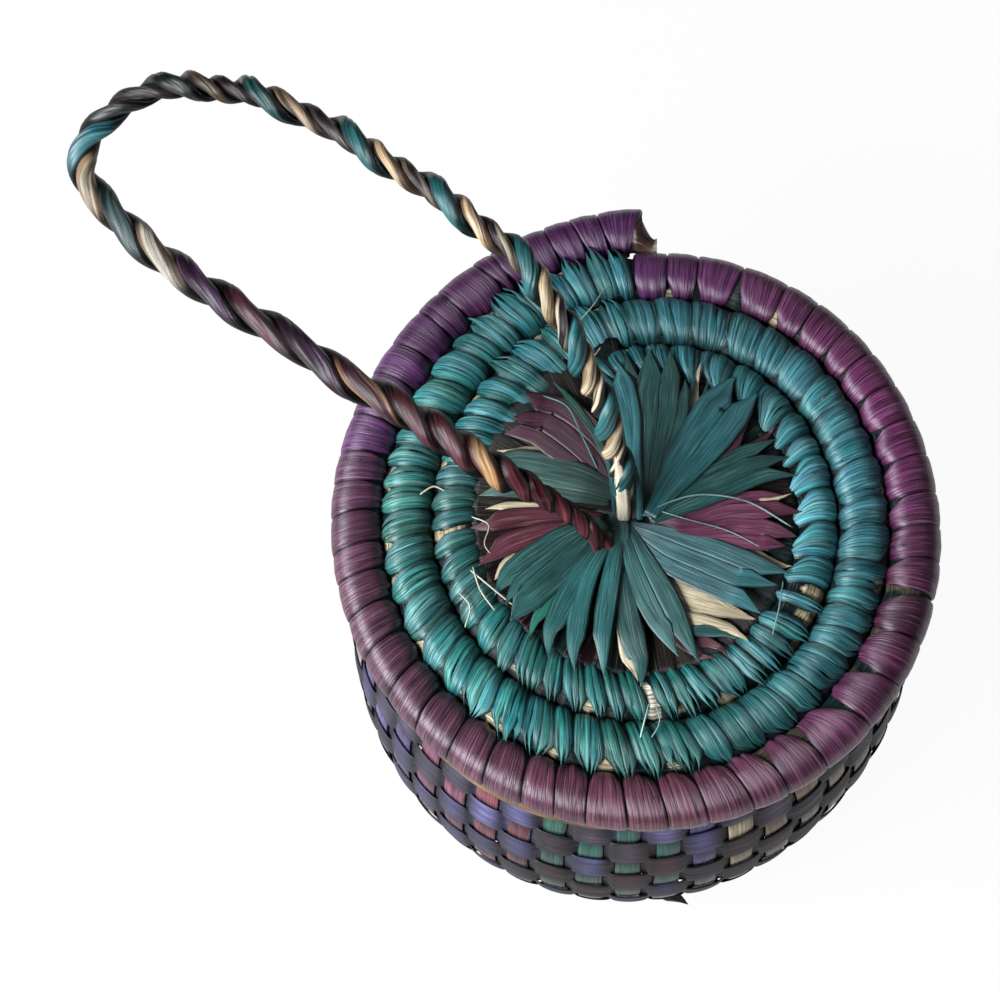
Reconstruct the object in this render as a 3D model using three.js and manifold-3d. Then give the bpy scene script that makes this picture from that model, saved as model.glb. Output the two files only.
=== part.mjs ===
// Coiled basket bowl: a woven bowl, a coiled lid with a leaf rosette, and a plaited carrying handle.
// Millimetres, +Z up. The origin is the middle of the flat underside of the base.

import * as THREE from 'three';
import { mergeVertices } from 'three/addons/utils/BufferGeometryUtils.js';
import Module from 'manifold-3d';

const wasm = await Module();
wasm.setup();

// Clearances
const seatGap = 0.3;
const stitchGap = 0.3;

// Bowl
const mouthHeight = 85.4;
const mouthRadius = 80.5;
const bellySwell = 9.1;
const bellyHeight = 36;
const heelDraw = 0.9;
const heelRise = 3.2;
const heelInset = 3.6;
const heelStrip = 12;
const bowlOval = 0.05;
const bowlOvalAngle = THREE.MathUtils.degToRad(80);

// Weave of the bowl
const stakeCount = 48;
const stakeWidth = 8;
const stakeThickness = 1.2;
const weaverRows = 8;
const stakeEdgeGap = 0.1;
const weaverThickness = 1;
const weaverRowGap = 0.7;
const baseWeaveThickness = 2;
const baseWeaveInset = 5;

// Hoops that clamp the tops of the stakes
const hoopHeight = 6.4;
const hoopThickness = 1.8;

// Coil of the lid
const turnGap = 0.9;
const rimOverhang = 2.4;
const coilWidth = 14.3;
const coilHeight = 12;
const wrapThickness = 1;
const coilStart = -0.02;
const tealStart = -0.01;
const tealEnd = 2;
const purpleEnd = 3;
const tailLeafEnd = 3.016;
const coilEnd = 3.024;
const rampStart = 0.8;
const rampLength = 0.36;
const lidOval = 0.034;
const lidOvalAngle = THREE.MathUtils.degToRad(102);

// Middle of the lid
const matThickness = 10.5;
const leafCount = 12;
const leafThickness = 0.7;
const leafInnerRadius = 16;
const leafFullWidth = 14.4;
const leafInset = 3;
const leafSpread = 2.5;
const lowerLeafExtra = 1.8;
const leafSideGap = 0.25;
const rosetteX = -3.4;
const rosetteY = -4.4;

// Ring under the lid that drops into the mouth
const ringThickness = 2;
const ringDepth = 9;
const ringFlange = 13;
const ringClearance = 1.5;

// Handle
const strandWide = 2.4;
const strandThick = 1.2;
const plaitHalfWidth = 3.2;
const plaitHalfDepth = 2.5;
const plaitRepeat = 32;
const footRadius = 4.6;
const footSpacing = 5.7;
const hingeX = -5.5;
const hingeY = -5.6;
const hingeRise = 1.4;
const hingeAngle = THREE.MathUtils.degToRad(57);
const knotRadius = 5;

// Points on the middle line of the plait, from the far foot, round the loop, to the near foot.
const handleRoute = [
  [-4.8, 8.3, 118], [-9.4, 17.1, 135], [-14.8, 24.8, 147], [-21.5, 34.6, 155],
  [-29.8, 46.8, 159.5], [-39.4, 55.3, 161], [-50.7, 64.4, 161.3], [-62.1, 74, 160.8], [-73.7, 83, 159],
  [-85.5, 92.1, 157], [-97.8, 100.5, 154.9], [-112.5, 107.4, 152.2], [-127.8, 111.9, 148.4],
  [-143.2, 112.3, 142.8], [-154.4, 107.6, 136.9], [-160.6, 100.8, 131.9], [-160, 92.9, 128.3],
  [-153.5, 84.5, 126.4], [-141.3, 72.4, 125.7], [-126.6, 59.8, 126.9], [-109.9, 47.9, 128.4],
  [-93.1, 35.7, 129.6], [-79.9, 26, 130], [-65.3, 17.1, 130.3], [-53, 8.4, 130.5],
  [-38, -0.8, 127], [-28.5, -3.9, 121], [-20, -5.8, 113],
];

const group = new THREE.Group();

function addPart(name, geometry, colour, roughness) {
  geometry.computeVertexNormals();
  const material = new THREE.MeshStandardMaterial({ color: colour, roughness, metalness: 0 });
  const mesh = new THREE.Mesh(geometry, material);
  mesh.name = name;
  group.add(mesh);
}

// Stretches a shape by one ratio along an axis in the plan and draws it in by the same across it.
function makeOval(geometry, ratio, angle) {
  const turn = new THREE.Matrix4().makeRotationZ(angle);
  const back = new THREE.Matrix4().makeRotationZ(-angle);
  const stretch = new THREE.Matrix4().makeScale(1 + ratio, 1 - ratio, 1);
  geometry.applyMatrix4(turn.multiply(stretch).multiply(back));
  return geometry;
}

// Joins rings of points into a skin. Each ring runs anticlockwise seen against the direction of travel.
function skinTriangles(ringCount, sides, closed, offset, flip, indices) {
  const lastRing = closed ? ringCount : ringCount - 1;
  for (let i = 0; i < lastRing; i += 1) {
    for (let j = 0; j < sides; j += 1) {
      const a = offset + i * sides + j;
      const b = offset + i * sides + (j + 1) % sides;
      const c = offset + ((i + 1) % ringCount) * sides + j;
      const d = offset + ((i + 1) % ringCount) * sides + (j + 1) % sides;
      if (flip) indices.push(a, c, b, b, c, d);
      else indices.push(a, b, c, b, d, c);
    }
  }
}

function geometryFrom(points, indices) {
  const geometry = new THREE.BufferGeometry();
  const positions = points.flatMap((point) => [point.x, point.y, point.z]);
  geometry.setAttribute('position', new THREE.Float32BufferAttribute(positions, 3));
  geometry.setIndex(indices);
  return geometry;
}

// A solid swept through rings of points, with flat ends, or closed into a hoop.
function sweptSolid(rings, closed) {
  const sides = rings[0].length;
  const points = rings.flat();
  const indices = [];
  skinTriangles(rings.length, sides, closed, 0, false, indices);
  if (!closed) {
    const last = (rings.length - 1) * sides;
    for (let j = 1; j < sides - 1; j += 1) {
      indices.push(0, j + 1, j);
      indices.push(last, last + j, last + j + 1);
    }
  }
  return geometryFrom(points, indices);
}

// A tube with a bore, open at both ends. Outer and inner rings have the same number of sides.
function sleeveSolid(outerRings, innerRings) {
  const sides = outerRings[0].length;
  const ringCount = outerRings.length;
  const inner = ringCount * sides;
  const last = (ringCount - 1) * sides;
  const points = [...outerRings.flat(), ...innerRings.flat()];
  const indices = [];
  skinTriangles(ringCount, sides, false, 0, false, indices);
  skinTriangles(ringCount, sides, false, inner, true, indices);
  for (let j = 0; j < sides; j += 1) {
    const k = (j + 1) % sides;
    indices.push(j, inner + j, k, k, inner + j, inner + k);
    indices.push(last + j, last + k, inner + last + j, last + k, inner + last + k, inner + last + j);
  }
  return geometryFrom(points, indices);
}

function toManifold(geometry) {
  const bare = new THREE.BufferGeometry();
  bare.setAttribute('position', geometry.getAttribute('position').clone());
  if (geometry.index) bare.setIndex(geometry.index.clone());
  const merged = mergeVertices(bare, 1e-5);
  const vertProperties = new Float32Array(merged.getAttribute('position').array);
  const triVerts = new Uint32Array(merged.index.array);
  return new wasm.Manifold(new wasm.Mesh({ numProp: 3, vertProperties, triVerts }));
}

function fromManifold(solid) {
  const mesh = solid.getMesh();
  const geometry = new THREE.BufferGeometry();
  geometry.setAttribute('position', new THREE.BufferAttribute(new Float32Array(mesh.vertProperties), 3));
  geometry.setIndex(new THREE.BufferAttribute(new Uint32Array(mesh.triVerts), 1));
  return geometry;
}

function discGeometry(radius, bottom, top, segments) {
  const disc = new THREE.CylinderGeometry(radius, radius, top - bottom, segments);
  disc.rotateX(Math.PI / 2);
  disc.translate(0, 0, (top + bottom) / 2);
  return disc;
}

// Bowl wall

const bellyRadius = mouthRadius + bellySwell;
const heelRadius = mouthRadius - heelDraw;
const floorRadius = heelRadius - heelInset;
const baseDiscRadius = floorRadius - heelStrip;
const baseWeaveRadius = floorRadius - baseWeaveInset;
const stakePitch = 2 * Math.PI / stakeCount;
const stakeFloor = stakeThickness / 2;
const weaverOffset = stakeThickness / 2 + stitchGap + weaverThickness / 2;

// The side of the bowl is an arc of a parabola from the heel, over the belly, to the mouth.
function wallPoint(height) {
  const below = height < bellyHeight;
  const end = below ? heelRadius : mouthRadius;
  const span = below ? bellyHeight - heelRise : mouthHeight - bellyHeight;
  const away = (height - bellyHeight) / span;
  return new THREE.Vector2(bellyRadius - (bellyRadius - end) * away * away, height);
}

// Two rows of weaving share one straight stretch of each stake, and the hoops share the last one.
const stretchCount = Math.ceil(weaverRows / 2);
const weaveTop = mouthHeight - hoopHeight - weaverRowGap;
const stretchRise = (weaveTop - heelRise) / stretchCount;
const wallStations = [];
for (let i = 0; i < stretchCount; i += 1) {
  wallStations.push(wallPoint(heelRise + i * stretchRise));
}
wallStations.push(wallPoint(mouthHeight));

function offsetPoint(from, to, along, away) {
  const direction = to.clone().sub(from).normalize();
  const outward = new THREE.Vector2(direction.y, -direction.x);
  return from.clone().lerp(to, along).addScaledVector(outward, away);
}

// The middle line of a stake, from the disc, along the floor, round the heel and up to the mouth.
const stakeRoot = 3;
const stakeLine = [
  new THREE.Vector2(baseDiscRadius - stakeRoot, stakeFloor),
  new THREE.Vector2(floorRadius, stakeFloor),
  ...wallStations,
];

function outwardAt(line, i) {
  const before = line[Math.max(i - 1, 0)];
  const after = line[Math.min(i + 1, line.length - 1)];
  const a = line[i].clone().sub(before).normalize();
  const b = after.clone().sub(line[i]).normalize();
  const direction = a.clone().add(b).normalize();
  const stretch = a.lengthSq() && b.lengthSq() ? 1 / Math.max(direction.dot(b), 0.5) : 1;
  return new THREE.Vector2(direction.y, -direction.x).multiplyScalar(stretch);
}

function atAngle(radial, sideways, height, angle) {
  const x = radial * Math.cos(angle) - sideways * Math.sin(angle);
  const y = radial * Math.sin(angle) + sideways * Math.cos(angle);
  return new THREE.Vector3(x, y, height);
}

function stakeGeometry(angle) {
  const rings = stakeLine.map((point, i) => {
    const outward = outwardAt(stakeLine, i).multiplyScalar(stakeThickness / 2);
    const outer = point.clone().add(outward);
    const inner = point.clone().sub(outward);
    if (i === stakeLine.length - 1) {
      outer.y = mouthHeight;
      inner.y = mouthHeight;
    }
    const half = stakeWidth / 2;
    return [
      atAngle(outer.x, half, outer.y, angle),
      atAngle(inner.x, half, inner.y, angle),
      atAngle(inner.x, -half, inner.y, angle),
      atAngle(outer.x, -half, outer.y, angle),
    ];
  });
  return sweptSolid(rings, false);
}

function stakeCrown() {
  let crown = toManifold(discGeometry(baseDiscRadius, 0, stakeThickness, stakeCount));
  for (let i = 0; i < stakeCount; i += 1) {
    crown = crown.add(toManifold(stakeGeometry(i * stakePitch)));
  }
  return fromManifold(crown);
}

// One row passes over one stake and under the next, and the row above does the reverse.
function weaverGeometry(row) {
  const stretch = Math.floor(row / 2);
  const from = wallStations[stretch];
  const to = wallStations[stretch + 1];
  const share = stretchRise / (to.y - from.y);
  const trim = weaverRowGap / 2 / from.distanceTo(to);
  const rowLow = share * (row % 2) / 2 + trim;
  const rowHigh = share * (row % 2 + 1) / 2 - trim;
  const rings = [];
  for (let i = 0; i < stakeCount; i += 1) {
    const side = (i + row) % 2 === 0 ? 1 : -1;
    const middle = side * weaverOffset;
    const outside = middle + weaverThickness / 2;
    const inside = middle - weaverThickness / 2;
    const corners = [
      offsetPoint(from, to, rowLow, inside),
      offsetPoint(from, to, rowLow, outside),
      offsetPoint(from, to, rowHigh, outside),
      offsetPoint(from, to, rowHigh, inside),
    ];
    for (const end of [-1, 1]) {
      const across = end * (stakeWidth / 2 + stakeEdgeGap);
      rings.push(corners.map((corner) => atAngle(corner.x, across, corner.y, i * stakePitch)).reverse());
    }
  }
  return sweptSolid(rings, true);
}

// A flat band bent round the mouth, whose flats line up with the stakes.
function hoopGeometry(side) {
  const high = wallStations[stretchCount];
  const low = wallStations[stretchCount - 1].clone();
  low.lerp(high, 1 - hoopHeight / (high.y - low.y));
  const near = side * (stakeThickness / 2 + seatGap);
  const far = side * (stakeThickness / 2 + seatGap + hoopThickness);
  const corners = [
    offsetPoint(low, high, 0, near),
    offsetPoint(low, high, 0, far),
    offsetPoint(low, high, 1, far),
    offsetPoint(low, high, 1, near),
  ];
  corners[2].y = mouthHeight;
  corners[3].y = mouthHeight;
  if (side > 0) corners.reverse();
  const flat = 1 / Math.cos(stakePitch / 2);
  const rings = [];
  for (let i = 0; i < stakeCount; i += 1) {
    const angle = (i + 0.5) * stakePitch;
    rings.push(corners.map((corner) => atAngle(corner.x * flat, 0, corner.y, angle)));
  }
  return sweptSolid(rings, true);
}

const ovalBowl = (geometry) => makeOval(geometry, bowlOval, bowlOvalAngle);

addPart('bowl-stakes', ovalBowl(stakeCrown()), 0x5d5560, 0.8);
for (let row = 0; row < weaverRows; row += 1) {
  const colour = row % 3 === 1 ? 0x4a3d57 : 0x51474a;
  addPart(`bowl-weaver-row-${row + 1}`, ovalBowl(weaverGeometry(row)), colour, 0.75);
}
const baseWeaveBottom = stakeThickness + seatGap;
const baseWeaveTop = baseWeaveBottom + baseWeaveThickness;
const baseWeave = discGeometry(baseWeaveRadius, baseWeaveBottom, baseWeaveTop, stakeCount);
addPart('bowl-base-weave', ovalBowl(baseWeave), 0x6d5c4a, 0.85);
addPart('bowl-hoop-outer', ovalBowl(hoopGeometry(1)), 0x6b5a48, 0.8);
addPart('bowl-hoop-inner', ovalBowl(hoopGeometry(-1)), 0x6b5a48, 0.8);

// Lid coil

const turnPitch = coilWidth + turnGap;
const rimTurnRadius = mouthRadius + rimOverhang;
const firstTurnRadius = rimTurnRadius - 2 * turnPitch;
const coilCentre = mouthHeight + seatGap + coilHeight / 2;
const lidTop = coilCentre + coilHeight / 2;
const stepsPerTurn = 24;

function smoothRamp(value) {
  return value * value * (3 - 2 * value);
}

// Each turn is round for most of its length and steps out to the next one at the back of the lid.
function turnRadius(turns) {
  const shifted = turns - rampStart;
  const whole = Math.floor(shifted);
  const ramp = Math.min((shifted - whole) / rampLength, 1);
  return firstTurnRadius + turnPitch * (whole + smoothRamp(ramp));
}

// Turns are counted clockwise from the back of the lid.
function coilPoint(turns) {
  const angle = Math.PI / 2 - 2 * Math.PI * turns;
  const radius = turnRadius(turns);
  return new THREE.Vector3(radius * Math.cos(angle), radius * Math.sin(angle), coilCentre);
}

// Points of the coil at even steps, with the two ends set on the straight run between two steps.
function coilStations(start, end) {
  const onChord = (turns) => {
    const step = turns * stepsPerTurn;
    const low = coilPoint(Math.floor(step) / stepsPerTurn);
    const high = coilPoint((Math.floor(step) + 1) / stepsPerTurn);
    return low.lerp(high, step - Math.floor(step));
  };
  const points = [onChord(start)];
  for (let step = Math.floor(start * stepsPerTurn) + 1; step < end * stepsPerTurn; step += 1) {
    points.push(coilPoint(step / stepsPerTurn));
  }
  points.push(onChord(end));
  return points;
}

function coilRings(start, end, width, height, sides) {
  const points = coilStations(start, end);
  return points.map((point, i) => {
    const before = points[Math.max(i - 1, 0)];
    const after = points[Math.min(i + 1, points.length - 1)];
    const a = point.clone().sub(before).normalize();
    const b = after.clone().sub(point).normalize();
    const direction = a.clone().add(b).normalize();
    const mitre = a.lengthSq() && b.lengthSq() ? 1 / direction.dot(b) : 1;
    const sideways = new THREE.Vector3(0, 0, 1).cross(direction).multiplyScalar(mitre);
    const ring = [];
    for (let j = 0; j < sides; j += 1) {
      const angle = 2 * Math.PI * j / sides;
      const corner = point.clone().addScaledVector(sideways, Math.cos(angle) * width / 2);
      corner.z += Math.sin(angle) * height / 2;
      ring.push(corner);
    }
    return ring;
  });
}

const coilSides = 8;
const coreWidth = coilWidth - 2 * (wrapThickness + stitchGap);
const coreHeight = coilHeight - 2 * (wrapThickness + stitchGap);
const ovalLid = (geometry) => makeOval(geometry, lidOval, lidOvalAngle);

function coilSleeve(start, end) {
  const outer = coilRings(start, end, coilWidth, coilHeight, coilSides);
  const boreWidth = coilWidth - 2 * wrapThickness;
  const boreHeight = coilHeight - 2 * wrapThickness;
  const inner = coilRings(start, end, boreWidth, boreHeight, coilSides);
  return ovalLid(sleeveSolid(outer, inner));
}

const coilBreak = 0.005;
const coreRings = coilRings(coilStart, coilEnd, coreWidth, coreHeight, coilSides);
addPart('lid-coil-core', ovalLid(sweptSolid(coreRings, false)), 0xcdbb95, 0.9);
addPart('lid-wrap-teal', coilSleeve(tealStart, tealEnd), 0x2b7478, 0.55);
addPart('lid-wrap-plum', coilSleeve(tealEnd + coilBreak, purpleEnd), 0x6a3f5c, 0.5);
addPart('lid-tail-leaf', coilSleeve(purpleEnd + coilBreak, tailLeafEnd), 0x6b4a35, 0.7);

function leastTurnGap() {
  const points = coilStations(coilStart, coilEnd).map((point) => {
    return point.applyMatrix4(new THREE.Matrix4().makeScale(1 - lidOval, 1 - lidOval, 1));
  });
  let least = Infinity;
  for (let i = 0; i < points.length; i += 1) {
    for (let j = i + stepsPerTurn / 2; j < points.length; j += 1) {
      least = Math.min(least, points[i].distanceTo(points[j]));
    }
  }
  return least - coilWidth * (1 - lidOval);
}
console.log(`least gap between turns of the lid coil ${leastTurnGap().toFixed(2)} mm`);

// Middle of the lid, under the rosette

const matTop = lidTop;
const matBottom = matTop - matThickness;
const hingeHeight = matTop + hingeRise;
const hingeAxis = new THREE.Vector3(Math.cos(hingeAngle), Math.sin(hingeAngle), 0);
const hingeMiddle = new THREE.Vector3(hingeX, hingeY, hingeHeight);
const farFoot = hingeMiddle.clone().addScaledVector(hingeAxis, footSpacing);
const nearFoot = hingeMiddle.clone().addScaledVector(hingeAxis, -footSpacing);

function ballGeometry(centre, radius) {
  const ball = new THREE.SphereGeometry(radius, 12, 7);
  ball.translate(centre.x, centre.y, centre.z);
  return ball;
}

// The mat fills the middle of the lid as far as the first turn, which steps inward under the leaves.
const matStep = 0.018;

function matGeometry() {
  const start = coilStart - coilBreak;
  const clearance = coilWidth + 4 * seatGap;
  const outline = new THREE.Shape();
  coilRings(start, start + 1 - matStep, clearance, clearance, 4).forEach(([, , inner], i) => {
    if (i === 0) {
      outline.moveTo(inner.x, inner.y);
    } else {
      outline.lineTo(inner.x, inner.y);
    }
  });
  outline.closePath();
  const slab = new THREE.ExtrudeGeometry(outline, { depth: matThickness, bevelEnabled: false });
  slab.translate(0, 0, matBottom);
  let mat = toManifold(ovalLid(slab));
  for (const foot of [farFoot, nearFoot]) {
    mat = mat.subtract(toManifold(ballGeometry(foot, footRadius + seatGap)));
  }
  return fromManifold(mat);
}
addPart('lid-centre-mat', matGeometry(), 0x8c7a58, 0.9);

// Ring under the lid, cut to the shape of the mouth
const ringOuter = mouthRadius - stakeThickness / 2 - seatGap - hoopThickness - ringClearance;
const ringTop = mouthHeight;
const ringProfile = [
  new THREE.Vector2(ringOuter - ringThickness, ringTop - ringDepth),
  new THREE.Vector2(ringOuter, ringTop - ringDepth),
  new THREE.Vector2(ringOuter, ringTop),
  new THREE.Vector2(ringOuter - ringFlange, ringTop),
  new THREE.Vector2(ringOuter - ringFlange, ringTop - ringThickness),
  new THREE.Vector2(ringOuter - ringThickness, ringTop - ringThickness),
  new THREE.Vector2(ringOuter - ringThickness, ringTop - ringDepth),
];
const locatingRing = new THREE.LatheGeometry(ringProfile, stakeCount);
locatingRing.rotateX(Math.PI / 2);
addPart('lid-locating-ring', ovalBowl(locatingRing), 0x8a6f4e, 0.85);

function knotGeometry(foot) {
  const knot = new THREE.SphereGeometry(knotRadius, 10, 6);
  knot.scale(1, 1, 0.8);
  knot.translate(foot.x, foot.y, matBottom - seatGap - knotRadius * 0.8);
  return knot;
}
addPart('lid-knot-far', knotGeometry(farFoot), 0x3f2a33, 0.8);
addPart('lid-knot-near', knotGeometry(nearFoot), 0x5a2c3a, 0.8);

// Rosette: two layers of flat leaves fan out from the feet of the handle over the inner turn.

const leafSector = 2 * Math.PI / leafCount;

function leafShape(outerRadius, forked) {
  const reach = (radius) => Math.min(leafFullWidth / 2, radius * Math.tan(leafSector / 2) - leafSideGap);
  const shape = new THREE.Shape();
  const widest = outerRadius * 0.72;
  const shoulder = outerRadius * 0.86;
  shape.moveTo(leafInnerRadius, -reach(leafInnerRadius));
  shape.lineTo(widest, -reach(widest));
  shape.lineTo(shoulder, -reach(shoulder) * 0.9);
  if (forked) {
    shape.lineTo(outerRadius, -reach(outerRadius) * 0.45);
    shape.lineTo(outerRadius * 0.9, 0);
    shape.lineTo(outerRadius * 0.97, reach(outerRadius) * 0.5);
  } else {
    shape.lineTo(outerRadius, 0);
  }
  shape.lineTo(shoulder, reach(shoulder) * 0.9);
  shape.lineTo(widest, reach(widest));
  shape.lineTo(leafInnerRadius, reach(leafInnerRadius));
  shape.closePath();
  return shape;
}

function leafGeometry(index, layer) {
  const angle = (index + layer / 2) * leafSector;
  const reach = firstTurnRadius - leafInset + leafSpread * Math.sin(angle + 0.4);
  const outerRadius = reach + (layer ? 0 : lowerLeafExtra);
  const leaf = new THREE.ExtrudeGeometry(leafShape(outerRadius, (index + layer) % 3 === 0), {
    depth: leafThickness,
    bevelEnabled: false,
  });
  leaf.rotateZ(angle);
  const height = lidTop + seatGap + layer * (leafThickness + seatGap);
  leaf.translate(rosetteX, rosetteY, height);
  return ovalLid(leaf);
}

const leafColours = [0x2f7477, 0x357c7c, 0xb9a87f, 0x2b6c70, 0x6e2f45, 0x3a8282];
for (let layer = 0; layer < 2; layer += 1) {
  for (let i = 0; i < leafCount; i += 1) {
    const name = `rosette-${layer ? 'upper' : 'lower'}-leaf-${String(i + 1).padStart(2, '0')}`;
    addPart(name, leafGeometry(i, layer), leafColours[(i * 5 + layer * 2) % leafColours.length], 0.6);
  }
}

// Plaited handle

const footClearance = footRadius + 3 * seatGap;

function handleCurve() {
  const points = handleRoute.map((point) => new THREE.Vector3(...point));
  const fromFoot = (foot, next) => {
    const outward = next.clone().sub(foot).normalize();
    return foot.clone().addScaledVector(outward, footClearance);
  };
  points.unshift(fromFoot(farFoot, points[0]));
  points.push(fromFoot(nearFoot, points[points.length - 1]));
  return new THREE.CatmullRomCurve3(points, false, 'centripetal');
}

const plaitCurve = handleCurve();
const plaitLength = plaitCurve.getLength();
const plaitRepeats = Math.round(plaitLength / plaitRepeat);
const stepsPerRepeat = 6;
const plaitSteps = plaitRepeats * stepsPerRepeat;
// The broad side of the plait looks up and a little forward all the way round the loop.
const broadSide = new THREE.Vector3(0, -0.41, 0.91);

function strandPoints(strand) {
  const points = [];
  for (let i = 0; i <= plaitSteps; i += 1) {
    const along = i / plaitSteps;
    const middle = plaitCurve.getPointAt(along);
    const direction = plaitCurve.getTangentAt(along);
    const across = direction.clone().cross(broadSide).normalize();
    const normal = across.clone().cross(direction);
    const phase = 2 * Math.PI * (i / stepsPerRepeat + strand / 3);
    points.push(middle.addScaledVector(across, plaitHalfWidth * Math.cos(phase))
      .addScaledVector(normal, plaitHalfDepth * Math.sin(2 * phase)));
  }
  return points;
}

// Each strand is a folded leaf, a flat strip that keeps its broad side up.
function strandGeometry(points) {
  const rings = points.map((point, i) => {
    const before = points[Math.max(i - 1, 0)];
    const after = points[Math.min(i + 1, points.length - 1)];
    const direction = after.clone().sub(before).normalize();
    const across = direction.clone().cross(broadSide).normalize();
    const normal = across.clone().cross(direction);
    const corner = (u, v) => point.clone().addScaledVector(across, u * strandWide / 2)
      .addScaledVector(normal, v * strandThick / 2);
    return [corner(-1, -1), corner(-1, 1), corner(1, 1), corner(1, -1)];
  });
  return sweptSolid(rings, false);
}

const strandNames = ['teal', 'natural', 'plum'];
const strandColours = [0x23696d, 0xbfa987, 0x35222e];
const strandLines = strandNames.map((name, strand) => strandPoints(strand));
strandNames.forEach((name, strand) => {
  addPart(`handle-strand-${name}`, strandGeometry(strandLines[strand]), strandColours[strand], 0.6);
});

function leastStrandGap() {
  let least = Infinity;
  strandLines.forEach((line, a) => {
    strandLines.slice(a + 1).forEach((other) => {
      line.forEach((point, i) => {
        for (let j = Math.max(0, i - stepsPerRepeat); j < Math.min(other.length, i + stepsPerRepeat); j += 1) {
          least = Math.min(least, point.distanceTo(other[j]));
        }
      });
    });
  });
  return least - strandThick;
}
console.log(`least gap between strands of the plait ${leastStrandGap().toFixed(2)} mm`);

addPart('handle-foot-far', ballGeometry(farFoot, footRadius), 0x35222e, 0.75);
addPart('handle-foot-near', ballGeometry(nearFoot, footRadius), 0x5a2c3a, 0.75);

export default group;
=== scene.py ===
# Coiled basket bowl: woven wall, wrapped coil lid, rosette of leaves and plaited handle.
# Shapes are worked out in millimetres and scaled to metres when a mesh is made.

import bpy
import math
import numpy as np
from mathutils import Matrix, Vector


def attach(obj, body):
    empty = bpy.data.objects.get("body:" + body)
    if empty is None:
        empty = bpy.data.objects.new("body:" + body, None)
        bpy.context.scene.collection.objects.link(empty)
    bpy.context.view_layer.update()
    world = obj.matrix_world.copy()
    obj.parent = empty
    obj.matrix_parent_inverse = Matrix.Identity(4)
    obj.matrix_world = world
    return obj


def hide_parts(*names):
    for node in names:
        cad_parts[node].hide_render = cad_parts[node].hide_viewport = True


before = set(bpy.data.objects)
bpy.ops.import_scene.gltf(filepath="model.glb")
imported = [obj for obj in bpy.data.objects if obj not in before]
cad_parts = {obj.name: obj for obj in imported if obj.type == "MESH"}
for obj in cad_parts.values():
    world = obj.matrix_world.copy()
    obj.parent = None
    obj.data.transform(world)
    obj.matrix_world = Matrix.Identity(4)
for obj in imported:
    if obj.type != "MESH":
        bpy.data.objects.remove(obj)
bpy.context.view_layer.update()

MM = 0.001
ROUND = 2 * math.pi
UP = np.array([0.0, 0.0, 1.0])


# Camera, fitted to the outlines of the rim and of the wall in the photograph

CAMERA_AT = (0.0, -0.32946, 0.83197)
CAMERA_RIGHT = (0.998865, 0.019373, -0.043512)
CAMERA_UP = (0.000332, 0.910690, 0.413090)
TO_VIEWER = (0.048, -0.413, 0.910)
SENSOR_WIDTH, LENS = 36, 101.2


def add_object(name, data):
    made = bpy.data.objects.new(name, data)
    bpy.context.scene.collection.objects.link(made)
    return made


def make_camera():
    data = bpy.data.cameras.new("camera")
    data.sensor_width, data.lens = SENSOR_WIDTH, LENS
    data.clip_start, data.clip_end = 0.01, 20
    camera = add_object("camera", data)
    right = Vector(CAMERA_RIGHT).normalized()
    back = right.cross(Vector(CAMERA_UP)).normalized()
    turn = Matrix((right, back.cross(right), back)).transposed().to_4x4()
    camera.matrix_world = Matrix.Translation(CAMERA_AT) @ turn
    bpy.context.scene.camera = camera


# Small maths

# A colour as it is seen, 0 to 255, in linear light.
def lin(colour):
    c = np.asarray(colour, float) / 255
    return np.where(c <= 0.04045, c / 12.92, ((c + 0.055) / 1.055) ** 2.4)


def mix(a, b, share):
    share = np.asarray(share, float)[..., None]
    return np.asarray(a) * (1 - share) + np.asarray(b) * share


# 0 up to a, 1 from b on, and a smooth step between.
def smooth(x, a, b):
    t = np.clip((np.asarray(x, float) - a) / (b - a), 0, 1)
    return t * t * (3 - 2 * t)


def within(x, low, high):
    return (x > low) & (x < high)


# Numbers or arrays as the last axis of one array: coordinates, colours, or the place on a leaf that its
# material reads (mm, across its fibres and along them).
def stacked(*parts):
    return np.stack(np.broadcast_arrays(*parts), -1)


# The way to the right of a way in a plane.
def right_of(way):
    return stacked(way[..., 1], -way[..., 0])


def peak(x, at, width):
    return np.exp(-((x - at) / width) ** 2)


def unit(v):
    return v / np.maximum(np.linalg.norm(v, axis=-1, keepdims=True), 1e-9)


# A steady sum of a few sine waves, with rates between low and high.
def waves(seed, low=0.5, high=3.0, count=5):
    r = np.random.default_rng(seed)
    rate = r.uniform(low, high, count)
    phase = r.uniform(0, ROUND, count)
    size = r.uniform(0.5, 1, count)
    size /= np.sqrt((size ** 2).sum() / 2)
    return lambda x: sum(s * np.sin(k * np.asarray(x, float) + p) for s, k, p in zip(size, rate, phase))


# A number or colour from a table of (degrees, value), anywhere round the circle.
def by_angle(table, degrees):
    angles = [a for a, _ in table]
    values = np.array([v for _, v in table], float)
    d = np.mod(np.asarray(degrees, float), 360)
    if values.ndim == 1:
        return np.interp(d, angles, values, period=360)
    return stacked(*(np.interp(d, angles, column, period=360) for column in values.T))


# The lid and the bowl are made round, then drawn out by a share along one direction (degrees) and in
# across it.
LID_OVAL = (0.034, 102)
BOWL_OVAL = (0.05, 80)


def oval(p, share, degrees):
    a = math.radians(degrees)
    c, s = math.cos(a), math.sin(a)
    along = (p[..., 0] * c + p[..., 1] * s) * (1 + share)
    across = (p[..., 1] * c - p[..., 0] * s) * (1 - share)
    return stacked(along * c - across * s, along * s + across * c, p[..., 2])


def oval_lid(p):
    return oval(p, *LID_OVAL)


def oval_bowl(p):
    return oval(p, *BOWL_OVAL)


def length_along(line):
    return np.concatenate([[0], np.cumsum(np.linalg.norm(np.diff(line, axis=0), axis=1))])


def heading(line):
    return unit(np.gradient(line, axis=0))


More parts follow.
